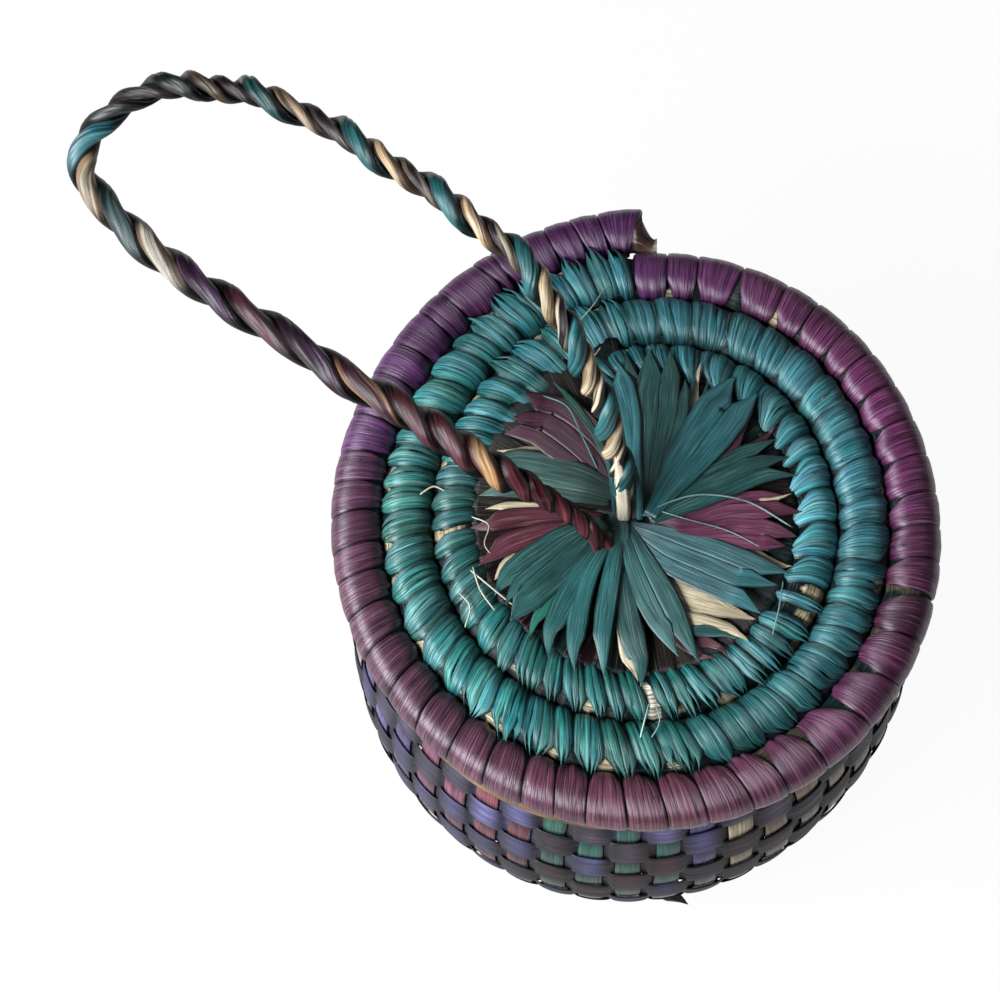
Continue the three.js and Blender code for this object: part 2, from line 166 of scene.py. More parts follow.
def ring_of(sides):
    return np.linspace(0, ROUND, sides, endpoint=False)[None]


# Points at an angle (radians), given by their distance out and their height.
def around(radial, height, angle):
    return stacked(radial * np.cos(angle), radial * np.sin(angle), height)


# A smooth line through given points (a centripetal Catmull-Rom curve), at even steps.
def smooth_line(points, count):
    p = np.asarray(points, float)
    q = np.concatenate([[2 * p[0] - p[1]], p, [2 * p[-1] - p[-2]]])
    gaps = np.sqrt(np.maximum(np.linalg.norm(np.diff(q, axis=0), axis=1), 1e-6))

    def between(a, b, t, t_a, t_b):
        return (t_b - t) / (t_b - t_a) * a + (t - t_a) / (t_b - t_a) * b

    out = []
    for i in range(1, len(q) - 2):
        knot = np.concatenate([[0], np.cumsum(gaps[i - 1:i + 2])])
        t = np.linspace(knot[1], knot[2], 24, endpoint=i == len(q) - 3)[:, None]
        a = [between(q[i - 1 + j], q[i + j], t, knot[j], knot[j + 1]) for j in range(3)]
        b = [between(a[j], a[j + 1], t, knot[j], knot[j + 2]) for j in range(2)]
        out.append(between(b[0], b[1], t, knot[1], knot[2]))
    line = np.concatenate(out)
    run = length_along(line)
    want = np.linspace(0, run[-1], count)
    return stacked(*(np.interp(want, run, column) for column in line.T))


# Meshes

# A patch is a grid of points, rows along and columns across, with its tint and its place on the leaf.
# A closed one has its last column beside its first, and caps close its two ends.
def patch(points, tint, fibre, closed=False, caps=False):
    points = np.asarray(points, float)
    return points, np.broadcast_to(tint, points.shape), fibre, closed, caps


def make_piece(name, patches, material, body, nodes=(), shape=lambda p: p):
    verts, tints, fibres, quads = [], [], [], []
    start = 0
    for points, tint, fibre, closed, caps in patches:
        rows, cols = points.shape[:2]
        index = np.arange(rows * cols).reshape(rows, cols) + start
        beside = np.roll(index, -1, axis=1)
        last = cols if closed else cols - 1
        corners = (index[:-1, :last], beside[:-1, :last], beside[1:, :last], index[1:, :last])
        quads.append(np.stack(corners, -1).reshape(-1, 4))
        if caps:
            k = np.arange(cols // 2 - 1)
            for ring, order in ((index[0], -1), (index[-1], 1)):
                cap = np.stack([ring[k], ring[k + 1], ring[cols - 2 - k], ring[cols - 1 - k]], -1)
                quads.append(cap[:, ::order])
        verts.append(shape(points).reshape(-1, 3) * MM)
        tints.append(tint.reshape(-1, 3))
        fibres.append(fibre.reshape(-1, 2))
        start += rows * cols
    quads = np.concatenate(quads).astype(np.int32)
    mesh = bpy.data.meshes.new(name)
    mesh.vertices.add(start)
    mesh.vertices.foreach_set("co", np.concatenate(verts).astype(np.float32).ravel())
    mesh.loops.add(quads.size)
    mesh.loops.foreach_set("vertex_index", quads.ravel())
    mesh.polygons.add(len(quads))
    mesh.polygons.foreach_set("loop_start", np.arange(0, quads.size, 4, dtype=np.int32))
    mesh.polygons.foreach_set("use_smooth", np.ones(len(quads), bool))
    mesh.update(calc_edges=True)
    layer = mesh.uv_layers.new(name="fibre")
    layer.uv.foreach_set("vector", np.concatenate(fibres)[quads.ravel()].astype(np.float32).ravel())
    colour = mesh.color_attributes.new("tint", "FLOAT_COLOR", "POINT")
    rgba = np.concatenate([np.concatenate(tints), np.ones((start, 1))], 1)
    colour.data.foreach_set("color", rgba.astype(np.float32).ravel())
    mesh.validate()
    mesh.materials.append(material)
    piece = add_object(name, mesh)
    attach(piece, body)
    if nodes:
        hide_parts(*nodes)


# A thin sheet with two sides and rounded edges, made from the grid of its upper side and the way up, which
# is one for all of it or one for each row.
def sheet(top, up, thick, tint, fibre, caps=True):
    low = top[:, ::-1] - np.broadcast_to(up, (len(top), 3))[:, None] * thick
    low[:, 0] += (top[:, -1] - low[:, 0]) * 0.35
    low[:, -1] += (top[:, 0] - low[:, -1]) * 0.35
    tint = np.broadcast_to(tint, top.shape)
    # The lower side takes 0.8 of the colour as painted shade.
    return patch(np.concatenate([top, low], 1), np.concatenate([tint, tint[:, ::-1] * 0.8], 1),
                 np.concatenate([fibre, fibre[:, ::-1]], 1), True, caps)


# A flat strip with a crowned upper side, given by its middle line, the way across and the way up.
def strip(middle, across, up, half, crown, thick, tint, columns=7, offset=0.0, caps=True):
    across, up = (np.broadcast_to(way, middle.shape) for way in (across, up))
    half = np.broadcast_to(np.asarray(half, float), (len(middle),))
    u = np.linspace(-1, 1, columns)
    top = middle[:, None] + across[:, None] * (half[:, None] * u)[..., None]
    top = top + up[:, None] * (crown * (1 - u ** 2))[:, None]
    fibre = stacked(u[None] * half.max() + offset, length_along(middle)[:, None] + offset * 7.3)
    return sheet(top, up, thick, tint[:, None] if tint.ndim == 2 else tint, fibre, caps)


# A round strand along a line, with two blunt ends.
def strand(line, half, tint, count, sides, seed, flat=1.0, up=UP):
    middle = smooth_line(line, count)
    go = heading(middle)
    across = unit(np.cross(go, up) + 1e-6)
    normal = np.cross(across, go)
    ring = ring_of(sides)
    along = np.linspace(0, 1, count)
    end = np.clip(np.minimum(along, 1 - along) / 0.06, 0, 1)
    size = (np.asarray(half, float) * (0.25 + 0.75 * np.sqrt(end)))[:, None]
    grooves = 1 + 0.06 * np.cos(ring * 5 + seed) + 0.04 * np.cos(ring * 9 + 2 * seed)
    points = middle[:, None] + across[:, None] * (size * np.cos(ring) * grooves)[..., None]
    points = points + normal[:, None] * (size * flat * np.sin(ring) * grooves)[..., None]
    # Painted shade: darker in the grooves round the strand.
    colour = lin(tint) * (0.75 + 0.25 * smooth(grooves, 0.93, 1.03))[..., None]
    fibre = stacked(ring * float(np.max(half)) + 17 * seed, length_along(middle)[:, None])
    return patch(points, colour, fibre, True, True)


# Materials

def plug(tree, target, sockets):
    for key, value in sockets.items():
        if isinstance(value, bpy.types.NodeSocket):
            tree.links.new(value, target.inputs[key])
        else:
            target.inputs[key].default_value = value


# A new node with its settings, and a value or a link for each socket that is given.
def node(tree, kind, sockets=None, **settings):
    made = tree.nodes.new(kind)
    for key, value in settings.items():
        setattr(made, key, value)
    plug(tree, made, sockets or {})
    return made


# A leaf or grass surface. Fibres run along the strip, with dark lines between them and a paler grain that is
# partly wear and partly painted highlight.
# The numbers are the roughness and how much it varies, how close and how dark the lines are, how close and
# how strong the grain is, the depth of the relief (mm), how pale the grain of wear and painted highlight is,
# and the shine.
def fibre_material(name, rough, vary, lines, dark, fine, contrast, depth, pale, shine, gloss=(1, 1, 1)):
    material = bpy.data.materials.new(name)
    material.use_nodes = True
    tree = material.node_tree

    def noise(source, scale, detail):
        moved = node(tree, "ShaderNodeMapping", {0: source, "Scale": scale}).outputs[0]
        return node(tree, "ShaderNodeTexNoise", {"Vector": moved, "Scale": 1, "Detail": detail,
                                                 "Roughness": 0.55}).outputs["Fac"]

    def spanned(source, low, high, a, b):
        return node(tree, "ShaderNodeMapRange", {"Value": source, "From Min": low, "From Max": high,
                                                 "To Min": a, "To Max": b}).outputs["Result"]

    def maths(kind, a, b=0.0):
        return node(tree, "ShaderNodeMath", {0: a, 1: b}, operation=kind).outputs[0]

    def mixed(kind, share, a, b):
        sockets = {0: share, 6: a, 7: b}
        return node(tree, "ShaderNodeMix", sockets, data_type="RGBA", blend_type=kind).outputs[2]

    on_leaf = node(tree, "ShaderNodeUVMap", uv_map="fibre").outputs[0]
    on_object = node(tree, "ShaderNodeTexCoord").outputs["Object"]
    thin = noise(on_leaf, (fine, 0.06, 1), 2)
    broad = noise(on_leaf, (0.42, 0.03, 1), 3)
    split = noise(on_leaf, (lines, 0.022, 1), 2)
    blotch = noise(on_object, (120, 120, 120), 4)
    line = spanned(maths("ABSOLUTE", maths("SUBTRACT", split, 0.5)), 0.004, 0.034, 0, 1)
    colour = node(tree, "ShaderNodeAttribute", attribute_name="tint").outputs["Color"]
    for factor in (spanned(line, 0, 1, 1 - dark, 1),
                   spanned(thin, 0.36, 0.64, 1 - contrast, 1 + contrast * 0.8),
                   spanned(broad, 0.3, 0.7, 0.72, 1.22),
                   spanned(blotch, 0.3, 0.7, 0.8, 1.18)):
        colour = mixed("MULTIPLY", 1, colour, factor)
    # The paler grain is partly wear and partly a painted highlight on the fibres.
    worn_and_sheen = maths("MULTIPLY", spanned(thin, 0.56, 0.74, 0, pale), line)
    height = maths("ADD", maths("MULTIPLY", line, 0.7), maths("ADD", maths("MULTIPLY", thin, 0.7), broad))
    bump = node(tree, "ShaderNodeBump", {"Strength": 0.8, "Distance": depth * MM, "Height": height})
    tangent = node(tree, "ShaderNodeTangent", direction_type="UV_MAP", uv_map="fibre")
    plug(tree, tree.nodes["Principled BSDF"], {
        "Base Color": mixed("MIX", worn_and_sheen, colour, (0.5, 0.5, 0.46, 1)),
        "Roughness": spanned(broad, 0.3, 0.7, rough - vary / 2, rough + vary / 2),
        "Normal": bump.outputs["Normal"],
        "Specular IOR Level": shine,
        "Specular Tint": (*gloss, 1),
        "Anisotropic": 0.85,
        "Tangent": tangent.outputs[0],
    })
    return material


make_camera()
teal_leaf = fibre_material("teal_leaf", 0.46, 0.16, 0.95, 0.66, 1.9, 0.4, 0.28, 0.14, 0.75, (0.75, 1, 1))
plum_leaf = fibre_material("plum_leaf", 0.47, 0.14, 0.6, 0.58, 2.4, 0.5, 0.26, 0.14, 0.88, (0.97, 0.9, 1))
flat_leaf = fibre_material("flat_leaf", 0.44, 0.14, 0.3, 0.14, 2.6, 0.34, 0.12, 0.2, 0.8)
weave_leaf = fibre_material("weave_leaf", 0.44, 0.16, 0.45, 0.4, 1.8, 0.34, 0.16, 0.04, 0.3)
plait_leaf = fibre_material("plait_leaf", 0.36, 0.12, 0.5, 0.3, 1.4, 0.2, 0.1, 0.02, 0.42)
grass = fibre_material("grass", 0.6, 0.2, 1.1, 0.7, 1.6, 0.4, 0.4, 0.15, 0.4)


# Coil of the lid

COIL_Z = 91.7
COIL_HALF_WIDE = 7.15
COIL_HALF_HIGH = 6.0
TURN_PITCH = 15.2
FIRST_TURN = 52.5
COIL_START = -0.02
# The coil steps outward by one pitch in each turn, over the third of a turn after STEP_AT.
STEP_AT, STEP_LONG = 0.8, 0.36


def turn_radius(turns):
    shifted = np.asarray(turns, float) - STEP_AT
    whole = np.floor(shifted)
    step = np.minimum((shifted - whole) / STEP_LONG, 1)
    return FIRST_TURN + TURN_PITCH * (whole + step * step * (3 - 2 * step))


def coil_middle(turns):
    angle = math.pi / 2 - ROUND * np.asarray(turns, float)
    radius = turn_radius(turns)
    return stacked(radius * np.cos(angle), radius * np.sin(angle))


# Points on the coil: how many turns along, the angle round its section (0 is outward, 90 is up),
# and how far proud of the plain tube.
def on_coil(turns, section, proud, wide=COIL_HALF_WIDE, high=COIL_HALF_HIGH):
    turns, section, proud = np.broadcast_arrays(turns, section, proud)
    way = unit(coil_middle(turns + 0.002) - coil_middle(turns - 0.002))
    a = np.radians(section)
    plan = coil_middle(turns) - right_of(way) * ((wide + proud) * np.cos(a))[..., None]
    z = COIL_Z + (high + proud) * np.sin(a)
    return oval_lid(np.concatenate([plan, z[..., None]], -1))


# Distances are in millimetres along the middle of the coil, turned into turns.
def coil_shift(turns, distance):
    return turns + distance / (ROUND * turn_radius(turns))


def turns_at(angle, whole=0):
    return (90 - angle) / 360 + whole


# How far out the first turn lies in a direction on the lid (radians).
def first_turn_radius(radians):
    where = np.mod(0.25 - np.asarray(radians, float) / ROUND, 1)
    return turn_radius(np.where(where > 0.98, where - 1, where))


# How much of a seam's lean has built up at an angle round the section.
def lean_share(section):
    return ((1 - np.cos(np.radians(np.clip(section, 0, 180)))) / 2) ** 1.3


# The end of the coil is folded down against the turn below it.
def tail_tube(last, full, upper, lower):
    t = np.linspace(0, last, 30)
    ring = ring_of(36)
    middle = np.concatenate([coil_middle(3.0 + 0.0145 * t), (COIL_Z + 0.8 * t)[:, None]], 1)
    middle = oval_lid(middle)
    middle[:, 1] -= 6.0 * smooth(t, 0.1, 1.0)
    thin, flare = smooth(t, 0.2, 0.9), 0.35 * smooth(t, 0.9, 1.0)
    wide = full * (6.6 - 3.9 * thin + flare)
    high = full * (5.6 - 3.1 * thin + flare)
    t = t[:, None]
    fold = 1 + 0.07 * np.sin(3 * ring + 4 * t) + 0.03 * np.sin(11 * ring + 2 * t)
    points = stacked(middle[:, :1], middle[:, 1:2] + wide[:, None] * np.cos(ring) * fold,
                     middle[:, 2:] + high[:, None] * np.sin(ring) * fold)
    tint = mix(lower, upper, 0.5 + 0.5 * np.sin(2 * ring + 3 * t))
    return patch(points, tint, stacked(3 * ring, 12 * t), True, full < 1)


# The grass bundle, painted dark as shade where it lies in shadow and pale where it shows between the wraps,
# and its tail.
def coil_core():
    turns = np.linspace(COIL_START, 3.007, 1900)[:, None]
    section = np.linspace(0, 360, 40, endpoint=False)[None]
    ripple = 0.16 * np.sin(turns * 620 + waves(5, 3, 9)(turns) * 1.2) + 0.1 * waves(6, 0.05, 0.2)(section)
    beside = np.abs(np.cos(np.radians(section))) ** 6
    between = (turns < 1.99) | ((turns < 2.9) & within(section, 90, 270))
    proud = -0.95 + ripple + 1.25 * beside * between - 0.3 * (turns > 2)
    points = on_coil(turns, section, proud)
    cream, straw, dark = lin((188, 174, 142)), lin((120, 104, 78)), lin((14, 34, 36))
    a = np.mod(90 - 360 * turns, 360)
    fleck = waves(8, 60, 190)(turns) + waves(9, 0.01, 0.04)(section)
    first = turns < 1
    glimpse = ((fleck > 1.5) & (turns < 3)) | (first & within(a, 325, 338) & within(section, 10, 72))
    glimpse = glimpse | (first & within(a, 183, 187.5) & (section < 110))
    glimpse = glimpse | (within(turns, 2.98, 3.0) & (fleck > 0))
    patch_of_white = first & within(a, 270.5, 276.5) & within(section, 15, 110)
    between_tips = within(turns, 1.5, 2) & ((section < 75) | (section > 330)) & (fleck > 1.1)
    # Painted shade: under the plum wraps the bundle is darkened towards the dark colour.
    shaded_under_plum = (turns > 2) & within(a, 292, 346) & within(section, 60, 200) & (fleck > -0.6)
    tint = np.where(glimpse[..., None], cream, dark)
    for where, colour in ((patch_of_white, lin((228, 222, 204))),
                          (between_tips, mix(straw, cream, smooth(fleck, -0.5, 1))),
                          (shaded_under_plum, mix(straw, dark, 0.65)),
                          (turns > 3.0, straw)):
        tint = np.where(where[..., None], colour, tint)
    made = [patch(points, tint, stacked(np.radians(section) * 6.5, turns * 400), True, True)]
    run = np.linspace(COIL_START, 2.0, 700)
    # A dark sheet under the first two turns: painted shadow that closes the gaps between them.
    shadow_sheet = np.stack([on_coil(run, 0, step, COIL_HALF_WIDE, 0) for step in (-2.5, -0.5, 1.5, 3.5)], 1)
    shadow_sheet[..., 2] -= 1.5
    fibre = stacked(np.arange(4.0)[None], run[:, None] * 400)
    made.append(sheet(shadow_sheet, UP, 2.0, dark * 0.6, fibre))
    made.append(tail_tube(0.9, 0.8, cream, cream))
    make_piece("coil_core", made, grass, "lid", ["lid-coil-core"])
    tube = tail_tube(1.0, 1.0, lin((84, 58, 44)), lin((52, 34, 30)))
    make_piece("tail_leaf", [tube], flat_leaf, "lid", ["lid-tail-leaf"])


# Seams of the plum leaf in the order in which it was wrapped: the angle at the outer side, how far the
# seam leans clockwise on its way in (mm), and how wide it opens at the inner side (mm).
PLUM_SEAMS = [
    (88.9, -0.5, 1), (81.8, 0.8, 2), (75.2, 1, 2.5), (65.5, -0.5, 5), (56, 0.5, 2.5), (49.4, 1.2, 1.5),
    (41.9, 1.5, 1.5), (35.4, 1, 1.5), (28.1, 1.3, 1.5), (20.5, 1.3, 2.5), (13.3, 2.2, 1.8), (5.7, 3, 2.5),
    (-1.3, 1.8, 1.5), (-7.9, 2.2, 2), (-14.6, 1.6, 4), (-23.8, 2.5, 3), (-33.2, 1.5, 4.5),
    (-42.6, 2.5, 5.5), (-53.2, 1.8, 4), (-61.5, 2.5, 3.5), (-68.6, 3.8, 2), (-77.2, 2.5, 3),
    (-84.8, 2.6, 3), (-92.2, 2.2, 2.5), (-99.6, 1.4, 2.5), (-105.8, 2, 1.5), (-112.2, 2, 3),
    (-119.6, 2.4, 1.5), (-127.5, 2.2, 2), (-135.6, 2.6, 1.8), (-143.3, 3.6, 1), (-151.5, 2.5, 1.5),
    (-159.2, 2.2, 1.5), (-166.3, 2.4, 1.2), (-171.8, 3, 1), (-179.2, 2, 1.5), (-185.8, 1.6, 1.5),
    (-192.1, 1.2, 2), (-199.8, 1.5, 1.5), (-209.4, 0.8, 1), (-216.7, 0.9, 1.2), (-224.5, 0.9, 1.2),
    (-230, 0.9, 1), (-239, 3, 3), (-242.6, 1.5, 2), (-247.8, 1.8, 1.5), (-253.8, 1.8, 1.5),
    (-259, 2.6, 1.5), (-264.6, 0.9, 1.5), (-272.6, -4.6, 0.8),
]
PLUM_TINT = [
    (0, (94, 42, 80)), (22, (100, 44, 86)), (40, (106, 52, 90)), (60, (108, 56, 96)), (90, (92, 46, 96)),
    (110, (88, 44, 90)), (130, (94, 48, 94)), (150, (102, 52, 108)), (166, (112, 64, 120)),
    (174, (106, 60, 92)), (195, (104, 64, 84)), (225, (100, 64, 82)), (255, (106, 60, 78)),
    (280, (114, 62, 80)), (305, (108, 58, 88)), (325, (92, 44, 78)), (340, (76, 32, 58)),
]
OUTER_RADIUS = 83
WRAP_WIDE = 7.4


# One side of a plum wrap, in turns, and how far it is open. It takes its share of the seam's opening.
def plum_seam(k, s, share, aside=0.0):
    angle, lean, gap = PLUM_SEAMS[k]
    opening = gap * smooth(s, 62 if gap > 3.2 else 100, 172)
    wander = 0.22 * waves(700 + k, 0.01, 0.035, 3)(s)
    return coil_shift(turns_at(angle, 2), lean * lean_share(s) + share * opening + wander + aside), opening


def plum_wraps():
    patches = []
    s = np.linspace(238, -118, 66)[:, None]
    near_edge = np.array([0.86, 0.91, 0.945, 0.97, 0.988, 1.0])
    u = np.concatenate([-near_edge[::-1], np.linspace(-0.78, 0.78, 13), near_edge])[None]
    inner = smooth(s, 85, 165)
    edge = 1 - np.abs(u) ** 26
    for k, ((a_left, _, _), (a_right, _, _)) in enumerate(zip(PLUM_SEAMS, PLUM_SEAMS[1:])):
        r = np.random.default_rng(300 + k)
        angle = (a_left + a_right) / 2
        start, open_left = plum_seam(k, s, 0.66, 1.2 if k == 14 else 0.0)
        end, open_right = plum_seam(k + 1, s, -0.34)
        turns = start + (end - start) * (u + 1) / 2
        crease = 0
        for _ in range(6):
            at = r.uniform(-0.8, 0.8)
            at = at + 0.1 * np.sin(np.radians(s) * r.uniform(0.6, 1.6) + r.uniform(0, 6))
            depth = r.uniform(0.04, 0.18) * (0.4 + 1.6 * inner)
            crease = crease - depth * peak(u, at, r.uniform(0.02, 0.05))
        fold = 0.16 * np.sin(u * r.uniform(4, 9) + r.uniform(0, 6)) * (0.25 + inner)
        sink = 0.25 * smooth(open_left + open_right, 0.6, 3) * u ** 4
        bulge = (0.3 + 0.45 * inner) * (1 - u ** 2)
        proud = -0.95 + 0.85 * edge + bulge + (crease + fold) * edge - 0.1 * u - sink
        tint = lin(by_angle(PLUM_TINT, angle + r.uniform(-2, 2))) * r.uniform(0.86, 1.14)
        tint = tint * (1 - 0.2 * within(angle % 360, 150, 305))
        shade = (1 - 0.9 * np.abs(u) ** 14) * (1 - 0.2 * smooth(s, 120, 180))
        low_side = 1 - smooth(-s, -25, 10)[..., None] * np.array([0.12, 0.5, 0.6])
        width = math.radians(a_left - a_right) * OUTER_RADIUS
        patches.append(patch(on_coil(turns, s, proud, WRAP_WIDE, 5.95), tint * shade[..., None] * low_side,
                             stacked(u * width / 2 + 40 * k, np.radians(s) * 7)))
    make_piece("plum_wraps", patches, plum_leaf, "lid", ["lid-wrap-plum"])


# Bundles of teal leaf in the order in which they were wrapped, given by the angles between them on top of
# the coil. Lobes have a pointed inner corner, bands are smooth and broad, tips end in a point outside. The
# last run lies before the first one, at the very start of the coil.
TEAL_RUNS = [
    ("lobe", [97.2, 89.5, 84, 76, 66.3, 54.9, 44.5, 33.5, 25.5, 18.8, 8.3, -2.3, -13.4, -22.3]),
    ("tip", [-26.6, -30.4]),
    ("tip", [-34.4, -41, -46.5, -52, -57.7, -67, -73.5, -78.5, -84.6]),
    ("tip", [-88, -94.9, -99.8, -106.3, -113.8, -119.8, -129.7, -137.2, -145, -153.5, -160.6, -167, -173.5]),
    ("tip", [-175.6, -180.9, -188, -196, -202, -208, -213.3, -219.8, -228.2, -236, -245.1, -253.5, -262,
             -269.6]),
    ("band", [-269.6, -277.7, -287.3, -297.5, -306.2, -314.2, -323.8, -331.2, -338.5, -346.2, -355.8,
              -362.7, -371.5, -378.5, -383.8, -390, -395.8, -405.8, -413.1, -421.5, -430, -436.1]),
    ("tip", [-436.1, -444.9, -451.4, -458.3, -465.6, -470.6, -478.2, -486.3, -495.1, -502, -509.6, -518.9,
             -525.8, -533.1, -540, -546.1, -551.5, -557, -562.5, -567.6, -576.4, -585.2, -590.6, -597.4,
             -605.1, -609.7, -615.5, -620.8, -625.8, -630]),
    ("lobe", [108.5, 102.6, 97.2]),
]
TEAL_LEAN = [
    (0, 2.6), (45, 1.6), (90, 2), (110, 3), (140, 3.6), (165, 2), (180, 2.6), (200, 3.6), (220, 4.4),
    (240, 4.4), (270, 4.6), (300, 3), (335, 2.4),
]
TEAL_TINT = [
    (0, (52, 104, 113)), (45, (50, 98, 105)), (90, (42, 92, 99)), (140, (40, 104, 108)),
    (180, (56, 110, 106)), (225, (38, 98, 98)), (270, (30, 94, 92)), (315, (40, 94, 98)),
]
# How bright the inner and the outer of the two turns are, round the ring: the leaf's own tone together with
# painted light and shade.
TEAL_TONE_AND_LIGHT = [[
    (0, 2.1), (20, 2.4), (40, 2), (60, 1.6), (90, 1.2), (115, 1.6), (145, 1.15), (170, 0.72), (205, 0.9),
    (250, 1.2), (290, 1.25), (325, 1.75), (350, 2.1),
], [
    (0, 1.3), (35, 1.45), (55, 1.4), (70, 1.15), (82, 0.95), (97, 1.7), (125, 1.75), (142, 2.1), (160, 1.2),
    (185, 1.1), (215, 1.55), (240, 1.8), (265, 1.1), (300, 1), (325, 1.05),
]]
TEAL_TUBE = (7.3, 5.9)
PLY_WIDTH = {"lobe": 2.3, "band": 2.4, "tip": 1.9}
SECOND_TURN = 0.98


# How a ply ends: at which angle round the section, how strongly the plies draw together, between which
# angles they do, and how far the end stands up.
def ply_end(kind, q, blunt, side_on, tuft, tuft_lift):
    if kind == "lobe":
        return q.uniform(-60, -35), 0.3, 30, -30, 0.2
    if kind == "band":
        return q.uniform(-32, 0), 0.62, 52, -12, q.uniform(0.1, 0.8)
    end = tuft + q.uniform(-13, 6)
    pull = q.uniform(0.35, 0.55) if blunt else q.uniform(0.72, 0.92)
    lift = tuft_lift * q.uniform(0.7, 1.1)
    if q.uniform() < 0.2:
        end, lift = end - 22, 0.4 * lift
    return (end, pull, 52, 4, lift) if side_on else (end, pull, 58, 0, lift)


def teal_bundle(count, kind, a_left, a_right):
    r = np.random.default_rng(900 + count)
    band, lobe = kind == "band", kind == "lobe"
    angle = (a_left + a_right) / 2
    low, high = turns_at(a_left), turns_at(a_right)
    centre = (low + high) / 2
    width = (high - low) * ROUND * float(turn_radius(low))
    lean = float(by_angle(TEAL_LEAN, angle)) * r.uniform(0.75, 1.25)
    plies = max(3, round(width / PLY_WIDTH[kind]))
    lanes = np.linspace(-1, 1, plies + 1)
    lanes[1:-1] += r.uniform(-0.35, 0.35, plies - 1) * 2 / plies
    order = r.permutation(plies)
    side_on = abs(((angle + 170) % 360) - 180) < 75
    tip_at = r.uniform(-0.6, -0.1)
    # Brightness round the ring: the leaf's tone together with painted light and shade.
    tone_and_light = float(by_angle(TEAL_TONE_AND_LIGHT[int(low >= SECOND_TURN)], angle)) * r.uniform(0.85, 1.2)
    base = lin(by_angle(TEAL_TINT, angle + r.uniform(-8, 8))) * tone_and_light * 1.32
    twist = r.uniform(-0.12, 0.12)
    blunt = 128 < angle % 360 < 224
    tuft = r.uniform(-28, -4) if blunt else r.uniform(8, 36)
    tuft_lift = r.uniform(0.4, 1.2) if blunt else r.uniform(1.4, 4.2)
    half = width / 2 * (1.12 if band else 1.04)
    steps = np.linspace(0, 1, 40)[:, None]
    u = np.concatenate([[-1.0, -0.94], np.linspace(-0.8, 0.8, 5), [0.94, 1.0]])[None]
    patches = []
    for ply in range(plies):
        seed = count * 11 + ply
        q = np.random.default_rng(5000 + seed)
        end, pull, first, last, lift = ply_end(kind, q, blunt, side_on, tuft, tuft_lift)
        s = 236 - (236 - end) * steps
        inner, under = smooth(s, 95, 170), smooth(s, 115, 172)
        lane = (lanes[ply] + lanes[ply + 1]) / 2 + ((lanes[ply + 1] - lanes[ply]) / 2 + 0.35 / plies) * u
        lane = lane + 0.3 / plies * waves(6000 + seed, 0.012, 0.05, 3)(s) + twist * (s - 90) / 90
        side = np.clip(np.abs(lane), 0, 1)
        converge = pull * smooth(-s, -first, -last)
        here = (-0.9 if band else tip_at) * converge + lane * (1 - converge)
        if lobe:
            here = here + (1 - here) * 0.7 * smooth(s, 75, 165) * (here < 1)
        else:
            here = here * (1 - (0.22 if band else 0.08) * inner)
        turns = coil_shift(centre, here * half + lean * (lean_share(s) - 0.4))
        bundle = (0.6 if band else 1.1) * (1 - side ** 2.5) + (0.25 - 0.32 * lane if band else 0)
        ridge = 0.16 * (1 - u ** 2) - 0.3 * np.abs(u) ** 10
        stand = lift * np.clip((steps - 0.74) / 0.26, 0, 1) ** 1.5
        proud = -0.8 + bundle + ridge + stand + 0.34 * order[ply] / plies + q.uniform(-0.1, 0.1)
        reach_in = 5.5 * smooth(turns, 0.78, 0.88) * smooth(-turns, -0.99, -0.95)
        proud = proud + reach_in * smooth(s, 125, 178) * smooth(-s, -238, -195)
        if not lobe:
            ending = np.clip((1 - steps) / (0.1 if blunt else 0.2), 0.05, 1) ** 0.8
            turns = turns[:, 4:5] + (turns - turns[:, 4:5]) * ending
        bright, hue = q.uniform(0.7, 1.35), np.array([q.uniform(0.7, 1.6), 1, q.uniform(0.88, 1.12)])
        if band:
            tint = base * (0.65 + 0.35 * bright) * (0.5 + 0.5 * hue)
            shade = (1 - 0.4 * np.abs(u) ** 8) * (1 - 0.9 * side ** 12) * (1 - 0.4 * smooth(lane, 0.2, 1.1))
        else:
            tint = base * bright * hue
            shade = (1 - 0.88 * np.abs(u) ** 5) * (1 - 0.94 * side ** 4.5)
        tint = tint * (shade * (1 - 0.6 * under))[..., None]
        fibre = stacked(lane * half + 13 * count + 3.7 * ply, np.radians(s) * 7)
        patches.append(patch(on_coil(turns, s, proud, *TEAL_TUBE), tint, fibre))
    s = np.linspace(6, -126, 18)[:, None]
    u = np.linspace(-1, 1, 17)[None]
    turns = coil_shift(centre, u * width * 0.52 + 0 * s)
    proud = -0.8 + 0.5 * (1 - np.abs(u) ** 4) * smooth(-s, -4, 20)
    proud = proud + 0.12 * np.sin(u * plies * 3 + r.uniform(0, 6))
    fibre = stacked(u * width / 2 + 13 * count, np.radians(s) * 7)
    # Painted shade: the strip under the bundle darkens at its two sides.
    tint = base * (1 - 0.8 * np.abs(u) ** 8)[..., None]
    return patches + [patch(on_coil(turns, s, proud, *TEAL_TUBE), tint, fibre)]


def teal_wraps():
    bundles = [(kind, *pair) for kind, edges in TEAL_RUNS for pair in zip(edges, edges[1:])]
    patches = [p for count, bundle in enumerate(bundles) for p in teal_bundle(count, *bundle)]
    make_piece("teal_wraps", patches, teal_leaf, "lid", ["lid-wrap-teal"])


# Rosette

LEAF_TINT = {
    "deep": (42, 82, 80), "bright": (54, 112, 118), "teal": (44, 96, 96), "blue": (52, 104, 110),
    "grey": (66, 98, 92), "green": (32, 92, 78), "maroon": (90, 46, 58), "plum": (104, 54, 78),
    "purple": (80, 38, 58), "cream": (206, 192, 160),
}
